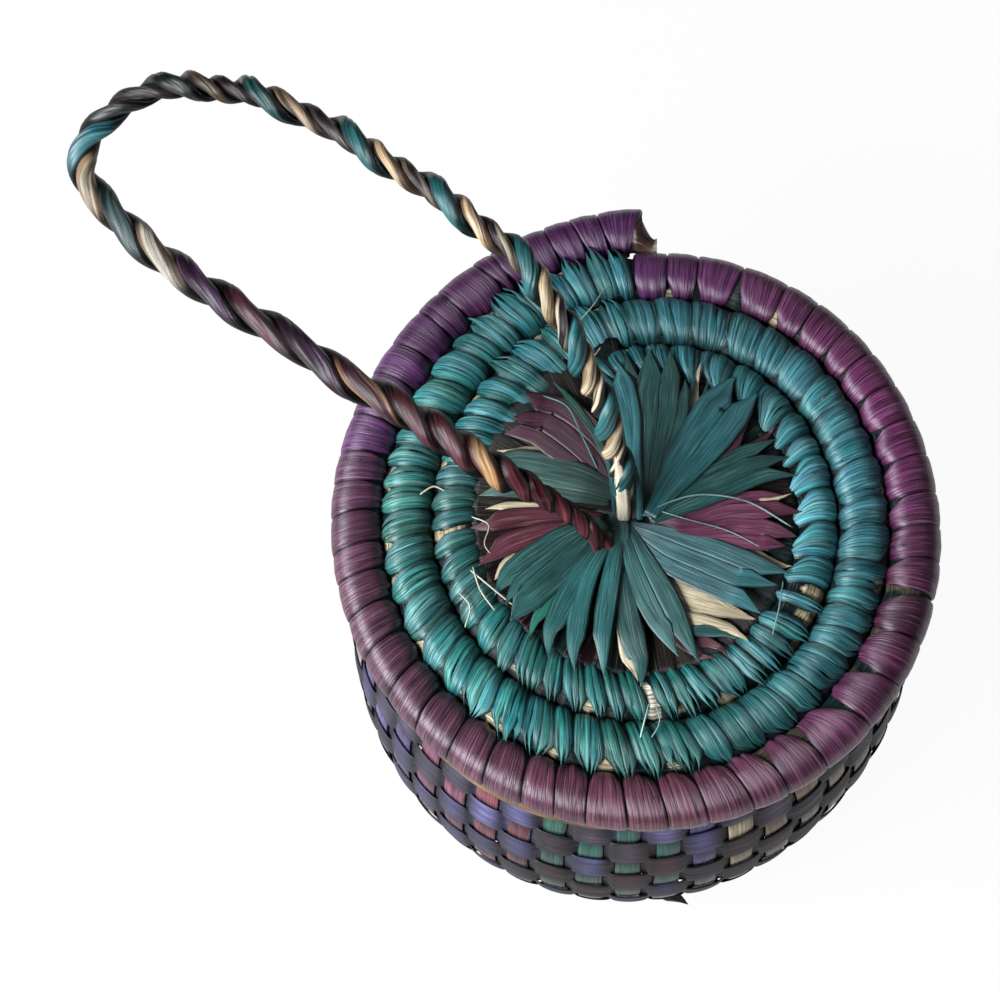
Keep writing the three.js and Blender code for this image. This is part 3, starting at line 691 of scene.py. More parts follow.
# Each leaf: name, colour, layer, four points along its middle from the centre outward (mm), the half widths
# there, how much it is crowned, where its slits begin (a share of its length), where they lie across it
# (-1 to 1), and the tips of the fingers between them.
LEAVES = [
    ("up_broad", "deep", 7, (3.8, -2.1, 5.2, 14, 7.8, 30.3, 8.2, 37.5), (1.8, 3.6, 6.3, 6.6), 0.5, 0.8,
     (-0.1, 0.62), (4.2, 51.3, 10.4, 51.2, 15, 41.4)),
    ("up_side_1", "deep", 5, (3.9, -1.4, 11.6, 19.6, 14.6, 30.3, 16.4, 36), (1.5, 1.6, 1.7, 1.6), 0.4, 0.72,
     (), (18.3, 45.7)),
    ("up_side_2", "deep", 4, (4.5, -1.4, 14.2, 20.3, 18.1, 30.3, 19.4, 35.3), (1.4, 1.6, 2, 1.7), 0.4, 0.7,
     (), (21.8, 42.1)),
    ("up_cream", "cream", 3, (4.5, -1.4, 13.5, 22.4, 17.2, 35.3, 18.5, 41.1), (1, 1.3, 1.8, 1.6), 0.3, 0.75,
     (), (19.7, 47.9)),
    ("right_bright", "bright", 8, (4.4, -1.8, 12.2, 11.1, 20.6, 23.1, 25.8, 31.3), (1.6, 4.6, 6.2, 6.6),
     0.5, 0.8, (0.1,), (27.9, 41.5, 35.3, 36.1)),
    ("right_maroon_1", "maroon", 4, (4.5, -2.1, 18.6, 11.1, 27.6, 19.6, 30.8, 24.5), (1.2, 1.8, 2.3, 2.2),
     0.6, 0.7, (), (35.2, 33.8)),
    ("right_maroon_2", "maroon", 3, (4.5, -2.1, 19.8, 8.3, 30.7, 17.5, 35.3, 21.7), (1.2, 1.8, 2.6, 2.5),
     0.6, 0.75, (), (40.8, 27.1)),
    ("right_fingers", "deep", 6, (4.2, -2.5, 15.3, 4.8, 26.2, 10.4, 33.2, 13.9), (1.8, 5, 5.4, 5.6), 0.5,
     0.72, (-0.35, 0.35), (40.5, 22.8, 44.4, 17, 46.4, 10.8)),
    ("right_plum", "plum", 5, (4.5, -2.8, 13.7, -5.6, 27.6, -3.2, 36.4, -3.2), (1.6, 3.2, 7, 8), 0.6, 0.8,
     (-0.62, -0.05, 0.5), (43.8, 5, 47.3, -0.1, 46.2, -7.7, 42.5, -11.2)),
    ("right_plum_edge", "cream", 4, (5.2, -2.8, 15.3, -2.1, 31.1, 1.3, 38.7, 3.4), (0.8, 1, 1.4, 1.2), 0.3,
     0.8, (), (45.2, 5.7)),
    ("right_cream", "cream", 2, (-2.7, -4.5, 14.9, -10.4, 30.5, -14.2, 37.4, -15.3), (1.2, 2, 3.2, 3.2),
     0.5, 0.85, (), (44.1, -16.6)),
    ("lower_right_broad", "blue", 7, (-2.1, -4.9, 9.8, -12.1, 21.1, -17.2, 29.2, -21), (1.6, 6, 7, 7.2),
     0.6, 0.75, (-0.3, 0.35), (43.3, -18.9, 39.7, -23.4, 35.1, -32)),
    ("cream_fan_1", "cream", 3, (-1.5, -6.3, 11.7, -24.7, 20.3, -28.1, 27.2, -30.1), (1.4, 4.5, 4.6, 3.2),
     0.5, 0.8, (), (33.8, -32.8)),
    ("cream_fan_2", "cream", 4, (-0.2, -9, 11.6, -31.5, 20.3, -34.5, 26.5, -36.1), (1, 1.8, 2.4, 2.2), 0.7,
     0.85, (), (31.9, -40)),
    ("curved_thin", "deep", 5, (-0.2, -9.7, 14.1, -36.5, 20.3, -36.8, 25.2, -37.8), (0.8, 1.5, 1.7, 1.4),
     0.5, 0.85, (), (28.9, -39.1)),
    ("small_maroon_1", "maroon", 2, (-0.8, -9.7, 14.7, -37.5, 20.2, -39.8, 23.3, -41.8), (0.8, 1.4, 2.2, 2),
     0.5, 0.8, (), (26, -44.6)),
    ("small_maroon_2", "maroon", 1, (-0.8, -10.4, 11.6, -38.2, 17.1, -41.5, 18.9, -43.5),
     (0.8, 1.4, 2.4, 2.2), 0.5, 0.8, (), (22.6, -44.9)),
    ("low_pair", "teal", 8, (-2.4, -4.2, 1.4, -15.9, 6, -26.8, 9.1, -33.5), (1.4, 3.6, 5, 4.8), 0.8, 0.62,
     (0,), (18.1, -45.8, 12.1, -44.7)),
    ("folded", "deep", 6, (-3.7, -8.7, -2.4, -27.8, -0.5, -38.5, 1, -45.2), (1.2, 3.2, 3.8, 3.4), 0.9, 0.85,
     (), (2.1, -52.4)),
    ("folded_edge", "cream", 5, (-4, -10.1, -4, -33.2, -2.4, -43.9, -0.8, -47.8), (0.6, 1, 1.6, 1.4), 0.4,
     0.85, (), (1.1, -52.1)),
    ("blade_1", "teal", 9, (-3.7, -5.2, -5.9, -18.3, -8, -31.2, -9.1, -41.2), (1.4, 2.6, 3, 2.7), 0.9, 0.8,
     (), (-8.1, -51.3)),
    ("blade_2", "teal", 8, (-5.9, -7.3, -13.1, -22.4, -15.8, -34.5, -16.4, -41.2), (1.2, 2.6, 3, 2.7), 0.9,
     0.82, (), (-16.5, -49.3)),
    ("blade_3", "teal", 7, (-6.5, -6.6, -15, -20.3, -19.9, -29.8, -22.9, -36.6), (1.2, 3.2, 3.6, 3), 1, 0.8,
     (), (-23.8, -44.9)),
    ("blade_4", "green", 5, (-7.2, -6.6, -19.3, -21, -24.9, -29.2, -27.6, -33.9), (1.2, 2.6, 2.4, 1.9), 0.7,
     0.8, (), (-29.5, -39.7)),
    ("blade_5", "green", 6, (-5.9, -8.7, -11.8, -19, -13.6, -27.8, -14.2, -33.2), (0.8, 1.4, 1.6, 1.4), 0.5,
     0.8, (), (-14.7, -38.3)),
    ("left_round_1", "deep", 8, (-8.1, -3.9, -16.9, -12.8, -25, -21, -30, -25.8), (1.4, 3.6, 4.6, 4.6), 0.7,
     0.82, (0.45,), (-33.5, -33.3, -36.2, -29.3)),
    ("left_round_2", "deep", 7, (-8.8, -2.8, -20.7, -9.4, -29.5, -15.9, -34.4, -20), (1.4, 3.8, 4.4, 4.2),
     0.6, 0.85, (), (-39, -25)),
    ("left_cream_low", "cream", 4, (-8.8, -2.8, -23.9, -10.8, -32, -15.2, -35.7, -17.6),
     (1.2, 2.6, 3.6, 3.4), 0.6, 0.88, (), (-39.4, -20.8)),
    ("left_maroon_low", "maroon", 6, (-8.8, -2.5, -25.2, -6.6, -34.6, -10.1, -39, -12.5),
     (1.2, 3.2, 3.6, 3.2), 0.8, 0.85, (), (-43.5, -16.8)),
    ("left_maroon_high", "maroon", 7, (-8.8, -2.1, -25.2, -2.1, -36, -3.2, -40.4, -4.2), (1.2, 2.4, 3.2, 3),
     0.8, 0.85, (), (-46, -5.5)),
    ("left_cream_mid", "cream", 4, (-8.8, -1.4, -25.9, 0.7, -36.1, 1, -38.6, 0.8), (1, 1.6, 1.8, 1.5), 0.4,
     0.85, (), (-42.2, 0.8)),
    ("left_wide", "grey", 8, (-5.9, 4.8, -17.1, 8.4, -28.6, 10.5, -34.4, 11.2), (3.2, 5.6, 6.4, 6.4), 0.6,
     0.8, (-0.45,), (-44.1, 4.4, -41, 14.3)),
    ("left_cream_top", "cream", 5, (-5.9, 5.5, -19.7, 16.1, -28.7, 18.2, -33.8, 18.6), (1.2, 1.6, 2, 1.6),
     0.4, 0.85, (), (-39.5, 19.1)),
    ("left_purple", "purple", 7, (-5.6, 5.5, -12, 16.8, -19.8, 24.6, -25, 28.2), (2.2, 6.8, 7.8, 7.4), 0.6,
     0.97, (-0.45, 0.25), (-37.3, 23.7, -34.8, 29.8, -30.8, 37.7)),
    ("left_narrow", "green", 6, (-4.3, 8.3, -11.4, 23.9, -17.3, 33.2, -20.6, 37.6), (0.8, 1.3, 1.5, 1.2),
     0.6, 0.8, (), (-23.7, 41.4)),
    ("top_bright", "bright", 6, (0.1, 1.4, -2.4, 18.2, -4.7, 31.8, -6.3, 38.3), (1.6, 4, 5.2, 5), 0.6, 0.78,
     (0.1,), (-11.2, 46.4, -3.8, 46.9)),
    ("top_roll", "bright", 9, (2.3, -0.7, 0.9, 14, 0.6, 29.6, -0.9, 39.7), (0.8, 1.3, 1.3, 1.2), 1, 0.85,
     (), (-6.9, 50.1)),
    ("centre_curve", "teal", 8, (-5, 1.5, -2.8, -6.5, -3.6, -14.5, -6.5, -22), (1.2, 1.5, 1.9, 2), 0.5, 0.8,
     (), (-9.8, -29)),
    ("centre_fill", "deep", 2, (-13, 0.5, -7, -3, -1, -5, 2, -5.5), (2, 3.4, 3.4, 2), 0.2, 0.8, (),
     (4.5, -6)),
    ("top_under", "deep", 4, (1.4, 1.4, 0.8, 25.3, 0.6, 38.2, -0.2, 43.3), (1.4, 3, 3.6, 3.2), 0.4, 0.8, (),
     (-2.5, 50.2)),
]
BODY_STEPS = 30
LOWEST_LAYER = 97.15


# The middle of a finger carries on from the leaf's middle line and bends over to its tip.
def finger_line(middle, way, tip):
    reach = np.linalg.norm(tip - middle[-1])
    t = np.linspace(0, 1, max(8, int(reach / 0.7)) + 1)[1:, None]
    bend = middle[-1] + unit(way * 0.35 + unit(tip - middle[-1]) * 0.65) * reach * 0.45
    return np.concatenate([middle, (1 - t) ** 2 * middle[-1] + 2 * t * (1 - t) * bend + t ** 2 * tip])


def rosette_leaf(index, colour, layer, line, widths, crown, split, slits, tips):
    r = np.random.default_rng(2000 + index)
    line, tips = np.reshape(line, (-1, 2)), np.reshape(tips, (-1, 2))
    many = len(tips) > 1
    body = smooth_line(line, BODY_STEPS)
    run = length_along(body) / length_along(body)[-1]
    given = length_along(line)
    half = (1.22 if many else 1.0) * np.interp(run, given / given[-1], widths)
    along = heading(body)
    across = right_of(along)
    wave = waves(2100 + index, 0.05, 0.16, 4)
    tilt = r.uniform(-0.07, 0.07)
    own = r.uniform(0.9, 1.12)
    u = np.linspace(-1, 1, 9)
    tint = LEAF_TINT[colour]
    patches = []
    edges = (-1, *slits, 1)
    for k, (a, b, tip) in enumerate(zip(edges, edges[1:], tips)):
        lit_low_tip = tip[1] < -20
        middle = body + across * (half * (a + b) / 2)[:, None]
        skew = r.uniform(0.3, 0.9) * (1 if r.uniform() < 0.5 else -1)
        if many and k in (0, len(tips) - 1):
            skew = -0.85 if k == 0 else 0.85
        tip = tip - right_of(unit(tip - middle[-1])) * skew * half[-1] * (b - a) / 2
        centre = finger_line(middle, along[-1], tip)
        n = len(centre)
        run_here = length_along(centre)
        total = run_here[-1]
        slit = np.interp(split, run, run_here[:BODY_STEPS])
        slit = slit + (0.42 * (total - slit) if many else 0)
        half_here = np.concatenate([half, np.full(n - BODY_STEPS, half[-1])])
        past = np.clip((run_here - slit) / (total - slit), 0, 1)
        full = half_here * (b - a) / 2 * (1 - 0.03 * smooth(past, 0, 0.1))
        wide = full * np.clip((1 - past) / (0.62 if many else 0.7), 0.02, 1) ** 0.95
        side = right_of(heading(centre))
        bent = past[:BODY_STEPS, None]
        side[:BODY_STEPS] = unit(across * (1 - bent) + side[:BODY_STEPS] * bent)
        aside = wide[:, None] * u + (skew * (full - wide))[:, None]
        plan = centre[:, None] + side[:, None] * aside[..., None]
        leaf_u = (a + b) / 2 + (b - a) / 2 * u
        past, run_here = past[:, None], run_here[:, None]
        radius = np.linalg.norm(plan, axis=-1)
        z = LOWEST_LAYER + 0.36 * layer + 0.14 * k * smooth(past, 0, 0.3)
        z = z + 0.42 * crown * (1 - np.abs(leaf_u) ** 3) * (1 - past)
        z = z + 0.24 * crown * (1 - u ** 2) * smooth(past, 0, 0.5) + 0.14 * wave(run_here)
        z = z + tilt * leaf_u * half_here[:, None]
        z = z - 0.1 * peak(leaf_u, r.uniform(-0.5, 0.5), 0.05)
        z = z - (1.5 + 0.4 * r.uniform(-1, 1)) * smooth(radius, 36, 50) - 1.2 * smooth(-run_here, -9, 0)
        under = first_turn_radius(np.arctan2(plan[..., 1], plan[..., 0]))
        inside = np.clip(1 - ((radius - under) / 8.2) ** 2, 0, 1)
        z = np.maximum(z, COIL_Z + 6.6 * np.sqrt(inside) + 0.2 + 0.05 * layer)
        apart = smooth(past, 0, 0.12)
        outer = np.abs(leaf_u) ** 30 * (1 - apart)
        shade = own * (1 + r.uniform(-0.14, 0.14) * apart)
        shade = shade * (1 - 0.55 * np.abs(u) ** 10 * apart - 0.5 * outer)
        shade = shade * (1 - 0.35 * smooth(-run_here, -16, -4))
        # Painted highlight: the ends of the teal and green leaves in the lower half are brighter, as where
        # they bend down into the light.
        if lit_low_tip and tint[1] > tint[0]:
            shade = shade * (1 + 0.45 * smooth(run_here, total - 15, total))
        fibre = stacked(leaf_u[None] * max(widths) + 31 * index, run_here)
        top = np.concatenate([plan, z[..., None]], -1)
        patches.append(sheet(top, UP, 0.28, lin(tint) * shade[..., None], fibre))
    return patches


def rosette():
    nodes = [f"rosette-{layer}-leaf-{i:02d}" for layer in ("lower", "upper") for i in range(1, 13)]
    for index, (name, colour, *shape) in enumerate(LEAVES):
        make_piece("rosette_" + name, rosette_leaf(index, colour, *shape), flat_leaf, "lid",
                   nodes[index:index + 1])


# Middle of the lid

def inner_edge(radians):
    return first_turn_radius(radians) - COIL_HALF_WIDE


# Leaf stacked in rays on both sides of the lid, painted dark at half its colour as the shade under the
# rosette, with a rim against the first turn painted near black as shade.
def centre_mat():
    patches = []
    for k in range(40):
        r = np.random.default_rng(2500 + k)
        angle = k * math.pi / 20
        run = np.linspace(3, float(inner_edge(angle)) + 2.6, 24)
        for side, level in ((1, 96.3), (-1, 87.6)):
            middle = around(run, level + side * (0.3 * (k % 2) - 0.5 * smooth(run, 30, 44)), angle)
            across = np.array([math.sin(angle), -math.cos(angle), 0.0]) * side
            tint = 0.5 * lin([(26, 40, 40), (30, 58, 56), (54, 30, 38), (52, 44, 36)][int(r.integers(4))])
            patches.append(strip(middle, across, UP * side, np.minimum(0.4 + run * 0.1, 4.4), 0.35, 0.4,
                                 tint, 7, 19.0 * k))
    edge = np.linspace(0, ROUND, 97)[:, None]
    rim = ring_of(14)
    radius = inner_edge(edge) + 0.4 + 1.9 * np.cos(rim) + 0.2 * waves(31, 2, 9)(edge)
    patches.append(patch(around(radius, 91.9 + 4.3 * np.sin(rim), edge), lin((22, 30, 28)),
                         stacked(rim * 3, edge * 44), True))
    make_piece("centre_mat", patches, grass, "lid", ["lid-centre-mat"], oval_lid)


# Woven bowl

STAKES = 48
STAKE_STEP = 7.5
ROWS = 8
ROWS_FROM, ROWS_TO = 3.2, 78.3
ROW_EDGES = ROWS_FROM + (ROWS_TO - ROWS_FROM) * np.arange(ROWS + 1) / ROWS
WALL_FROM, WALL_TO, WALL_STEPS = 3.6, 85.2, 90
BELLY_HEIGHT, BELLY_RADIUS = 36, 89.6
HOOP_HEIGHT, RING_HEIGHT = 82.1, 80.6
# How a stake runs out under the floor: distance out, height.
FLOOR_LINE = [(6, 0.7), (30, 0.7), (60, 0.7), (72, 0.7), (76.5, 1.1), (78.9, 2.6)]
# The colours that a stake can have, by where it stands (degrees).
STAKE_TINTS = [
    ((190, 220), [(96, 86, 150), (212, 206, 192), (90, 74, 120)]),
    ((222, 236), [(130, 76, 100), (128, 70, 88), (96, 84, 120)]),
    ((236, 250), [(118, 62, 72), (112, 64, 76), (96, 60, 66)]),
    ((250, 279), [(34, 92, 84), (44, 96, 84), (48, 104, 92)]), ((279, 286), [(72, 64, 132)]),
    ((286, 318), [(190, 172, 136), (140, 108, 76), (164, 142, 110)]),
    ((318, 350), [(106, 84, 62), (150, 132, 100), (78, 52, 46)]),
    ((350, 400), [(110, 52, 78), (88, 62, 110), (168, 150, 118)]),
    ((40, 100), [(46, 96, 88), (92, 60, 104), (150, 134, 104)]),
    ((100, 190), [(88, 72, 126), (112, 58, 76), (52, 88, 88)]),
]


# The wall comes in from its belly by 10 mm at the foot and by 9.1 mm at the mouth.
def wall_radius(height):
    rise = np.asarray(height, float) - BELLY_HEIGHT
    return BELLY_RADIUS - np.where(rise < 0, 10.0 * (rise / 32.8) ** 2, 9.1 * (rise / 49.4) ** 2)


# The way up the wall and the way out of it, each as (distance out, height).
def wall_way(height):
    slope = wall_radius(height + 0.5) - wall_radius(height - 0.5)
    run = unit(stacked(slope, 1.0))
    return run, right_of(run)


def stake_tint(index):
    r = np.random.default_rng(4000 + index)
    angle = index * STAKE_STEP
    for (low, high), tints in STAKE_TINTS:
        if low <= angle < high or low <= angle + 360 < high:
            return lin(tints[int(r.integers(len(tints)))]) * r.uniform(0.42, 0.8)


# Each stake runs out from under the floor and up the wall, behind one row and before the next.
def bowl_stakes():
    patches = []
    h = np.linspace(WALL_FROM, WALL_TO, WALL_STEPS)
    row = (h - ROWS_FROM) / ((ROWS_TO - ROWS_FROM) / ROWS)
    out = wall_way(h)[1]
    for i in range(STAKES):
        side = np.where(row < 8.3, np.cos(math.pi * (row - 0.5 + i)), 0)
        wall = stacked(wall_radius(h), h) + out * (-0.42 * side)[:, None]
        skip = 2 if i % 2 else 1 if i % 4 else 0
        floor = smooth_line(np.concatenate([FLOOR_LINE[skip:], wall[:1]]), 26)
        line = np.concatenate([floor[:-1], wall])
        go = heading(line)
        angle = np.full(len(line), math.radians(i * STAKE_STEP))
        step = np.arange(len(line))
        across = stacked(np.sin(angle), -np.cos(angle), 0.0)
        drift = 0.35 * waves(4200 + i, 0.02, 0.08, 3)(step)
        middle = around(line[:, 0], line[:, 1], angle) + across * drift[:, None]
        width = 3.6 + 0.22 * waves(4300 + i, 0.03, 0.12, 3)(step)
        width = np.minimum(width, np.maximum(line[:, 0] * 0.065, 1.0) + 0.4)
        tint = np.repeat(stake_tint(i)[None], len(line), 0)
        # Painted shade: a stake is darker where it passes behind a weaver and darker towards the foot of the
        # wall.
        tint[-WALL_STEPS:] *= ((0.2 + 0.95 * np.abs(side) ** 1.3) * (0.32 + 0.8 * smooth(h, 36, 72)))[:, None]
        patches.append(strip(middle, across, around(go[:, 1], -go[:, 0], angle), width, 0.3, 0.5, tint, 7,
                             17.0 * i))
    make_piece("bowl_stakes", patches, weave_leaf, "bowl", ["bowl-stakes"], oval_bowl)


def weaver_tint(degrees, r):
    pick = r.uniform()
    if 195 < degrees < 250:
        tint = (82, 78, 130) if pick < 0.5 else (66, 58, 84)
    elif 250 <= degrees < 292:
        tint = (84, 78, 124) if pick < 0.34 else ((58, 50, 62) if pick < 0.8 else (92, 60, 70))
    elif 292 <= degrees < 345:
        tint = (62, 46, 48) if pick < 0.7 else (70, 58, 84)
    else:
        tint = (70, 62, 100) if pick < 0.5 else (66, 50, 58)
    grey = np.array([0.35, 0.33, 0.36]) * float(lin(tint).sum())
    return mix(lin(tint), grey, 0.15) * r.uniform(0.5, 1.1)


# The loose end of the lowest row, which stands off the foot of the wall.
def weaver_end():
    line = smooth_line([(9.0, -86.0, 9.5), (12.0, -86.8, 7.4), (14.4, -87.6, 5.6), (16.4, -88.6, 4.2)], 24)
    flat = (0.0, -0.35, 0.94)
    narrow = 2.4 * np.clip(np.linspace(1.3, 0.02, 24), 0, 1)
    return strip(line, unit(np.cross(heading(line), flat)), flat, narrow, 0.15, 0.4,
                 lin((66, 50, 58)) * 0.6, 5, 3.0)


def bowl_weavers():
    steps = 14
    angle = np.linspace(0, ROUND, STAKES * steps, endpoint=False)
    stake = np.floor(np.arange(len(angle)) / steps + 0.5).astype(int) % STAKES
    for row in range(ROWS):
        lowest = row == 0
        r = np.random.default_rng(4500 + row)
        centre = (ROW_EDGES[row] + ROW_EDGES[row + 1]) / 2
        wobble = 0.12 * sum(np.sin(k * angle + r.uniform(0, 6)) for k in (3, 7, 11)) / 2
        h = centre + wobble - (0.8 if lowest else 0)
        beat = np.cos(STAKES / 2 * angle + math.pi * row)
        lift = 0.8 * np.sign(beat) * np.abs(beat) ** 0.5
        way, out = wall_way(h)
        middle = around(wall_radius(h) + out[:, 0] * lift, h + out[:, 1] * lift, angle)
        across = around(way[:, 0], way[:, 1], angle)
        up = unit(np.cross(unit(np.roll(middle, -1, 0) - np.roll(middle, 1, 0)), across))
        up = np.where((up * around(1, 0, angle)).sum(-1, keepdims=True) > 0, up, -up)
        tints = [weaver_tint(math.degrees(k * math.pi / 24), np.random.default_rng(4600 + row * 50 + k // 2))
                 for k in range(STAKES)]
        tint = np.stack(tints)[stake]
        for _ in range(2):
            tint = (np.roll(tint, 1, 0) + tint + np.roll(tint, -1, 0)) / 3
        shade = (0.2 + 0.95 * np.abs(beat) ** 1.5) * (0.3 + 0.75 * float(smooth(centre, 36, 72)))
        tint = tint * shade[:, None]
        half = 0.14 * sum(np.sin(k * angle + r.uniform(0, 6)) for k in (5, 13, 29)) / 2
        half = half + (6.1 if lowest else 5.3)
        closing = [np.concatenate([v, v[:1]]) for v in (middle, -across, up, half, tint)]
        band = strip(*closing[:4], 0.2, 0.5, closing[4], 9, 23.0 * row, False)
        made = [(oval_bowl(band[0]), *band[1:])] + ([weaver_end()] if lowest else [])
        make_piece(f"bowl_weaver_{row + 1}", made, weave_leaf, "bowl",
                   [f"bowl-weaver-row-{row + 1}"])


# A band that runs once round the bowl: the place of its middle, then half its width, both as distance out
# and height.
def round_band(radial, height, half_out, half_up, thick, tint, columns, seed):
    angle = np.linspace(0, ROUND, 361)
    middle = around(radial, height, angle)
    size = math.hypot(half_out, half_up)
    across = around(half_out / size, half_up / size, angle)
    tint = tint * (1 + 0.16 * waves(seed + 50, 3, 40, 6)(angle))[:, None]
    up = np.cross(across, heading(middle))
    return strip(middle, across, up, size, 0.25, thick, tint, columns, seed, False)


def hoops():
    for name, side, seed in (("outer", 1, 61), ("inner", -1, 62)):
        band = round_band(float(wall_radius(HOOP_HEIGHT)) + side * 2.0, HOOP_HEIGHT, side * -0.35,
                          side * 3.1, 1.5, lin((150, 118, 78)) * 0.7, 9, seed)
        make_piece("bowl_hoop_" + name, [band], weave_leaf, "bowl", ["bowl-hoop-" + name], oval_bowl)


# Flat strips woven over and under across the floor of the bowl.
def base_weave():
    patches = []
    pitch = 7.1
    shades = [(96, 78, 58), (74, 60, 84), (58, 84, 78), (120, 100, 74), (88, 52, 62)]
    for way, across in enumerate(([0.0, -1.0, 0.0], [1.0, 0.0, 0.0])):
        for k in range(-10, 11):
            r = np.random.default_rng(5200 + way * 40 + k)
            reach = math.sqrt(77.0 ** 2 - (k * pitch) ** 2)
            run = np.linspace(-reach, reach, max(12, int(reach * 2)))
            place = (run, k * pitch)
            z = 2.75 + 0.42 * np.cos(math.pi * (run / pitch + k + way))
            tint = lin(shades[int(r.integers(5))]) * r.uniform(0.6, 0.95)
            patches.append(strip(stacked(place[way], place[1 - way], z), across, UP, 3.35, 0.15, 0.35, tint,
                                 7, 29.0 * k + 400 * way))
    make_piece("bowl_base_weave", patches, weave_leaf, "bowl", ["bowl-base-weave"], oval_bowl)


# The ring under the lid: an upright plaited band that fits the mouth, with a flat band above it.
def locating_ring():
    tan = lin((128, 104, 74))
    bands = [round_band(75.5, RING_HEIGHT, 0.0, 4.2, 1.2, tan * 0.8, 9, 71),
             round_band(69.7, 84.8, -6.3, 0.0, 1.1, tan * 0.7, 13, 72)]
    angle = np.linspace(0, ROUND, 1441)
    out = around(1, 0, angle)
    for k in range(2):
        wave = np.cos(48 * angle + math.pi * k)
        middle = around(75.9 + 0.45 * np.sin(96 * angle + math.pi * k), RING_HEIGHT + 2.2 * wave, angle)
        across = np.cross(heading(middle), out)
        bands.append(strip(middle, across, out, 0.9, 0.25, 0.5, tan, 5, 81.0 + k, False))
    make_piece("locating_ring", bands, weave_leaf, "lid", ["lid-locating-ring"], oval_bowl)


# Knots, feet and loose fibres

FAR_FOOT = (-2.4, -0.8)
NEAR_FOOT = (-8.6, -10.4)


def knots():
    t = np.linspace(0, ROUND, 40)
    loop = around(2 + np.cos(3 * t), 1.7 * np.sin(3 * t), 2 * t) * 1.05
    for name, (x, y), tint, seed in (("far", FAR_FOOT, (70, 96, 92), 3),
                                     ("near", NEAR_FOOT, (92, 44, 54), 5)):
        made = [strand(loop + np.array([x, y, 82.9]), 1.35, tint, 150, 16, seed)]
        for k, tail_tint in enumerate([(92, 44, 54), (48, 96, 98), (176, 152, 118)]):
            a = 2.1 * k + seed
            tail = [(x + out * math.cos(a), y + out * math.sin(a), z)
                    for out, z in ((0, 86.2), (1.5, 82.5), (3.4, 79.8))]
            made.append(strand(tail, 0.8, tail_tint, 30, 12, k))
        make_piece("knot_" + name, made, plait_leaf, "lid", ["lid-knot-" + name])


# Where the handle goes into the lid its leaves fold over side by side. Each leaf of a foot is given by its
# line, its half width, its colour, its steps along and round, its seed and how flat it is.
BROAD_END = np.interp(np.linspace(0, 1, 60), [0, 0.15, 0.6, 1], [1.7, 2.0, 1.9, 0.5])
FEET = {
    "far": [
        ([(-2.9, -3.2, 97.0), (-3.0, -1.5, 104), (-3.4, 1.2, 110.3), (-4.2, 4.6, 117.2), (-5.2, 7.9, 122)],
         BROAD_END, (236, 224, 198), 60, 22, 1, 0.6),
        ([(-0.2, -2.4, 96.4), (-0.4, -0.6, 100), (-1.2, 3.0, 107.5), (-2.6, 7.2, 114)],
         0.8, (150, 104, 88), 50, 14, 2, 0.7),
        ([(1.5, -2.6, 96.4), (1.5, -0.6, 99.6), (1.1, 3.2, 105.5), (-0.6, 8.0, 112.5)],
         1.15, (60, 112, 116), 50, 16, 3, 0.6),
        ([(-5.2, -0.8, 96.4), (-5.6, 1.4, 100.6), (-6.4, 6.2, 107.5), (-7.6, 10.6, 113.6)],
         0.8, (64, 118, 122), 50, 14, 4, 0.7)],
    "near": [
        ([(-13.5, -8.4, 106.0), (-10.6, -9.2, 104.2), (-8.2, -10.6, 102.0), (-6.6, -12.0, 99.4),
          (-6.4, -12.6, 94.5)], 1.25, (86, 40, 48), 60, 18, 6, 0.85),
        ([(-14.0, -8.8, 105.4), (-12.2, -10.6, 103.4), (-10.8, -12.6, 100.4), (-10.5, -13.2, 94.5)],
         1.1, (96, 46, 56), 60, 18, 7, 0.85),
        ([(-12.4, -7.6, 104.4), (-9.4, -8.8, 102.4), (-7.4, -10.8, 99.4), (-7.4, -12.0, 94.5)],
         1.0, (66, 30, 38), 60, 18, 8, 0.85)],
}


def handle_feet():
    for name, leaves in FEET.items():
        made = [strand(*leaf, TO_VIEWER) for leaf in leaves]
        make_piece("handle_foot_" + name, made, plait_leaf, "handle", ["handle-foot-" + name])


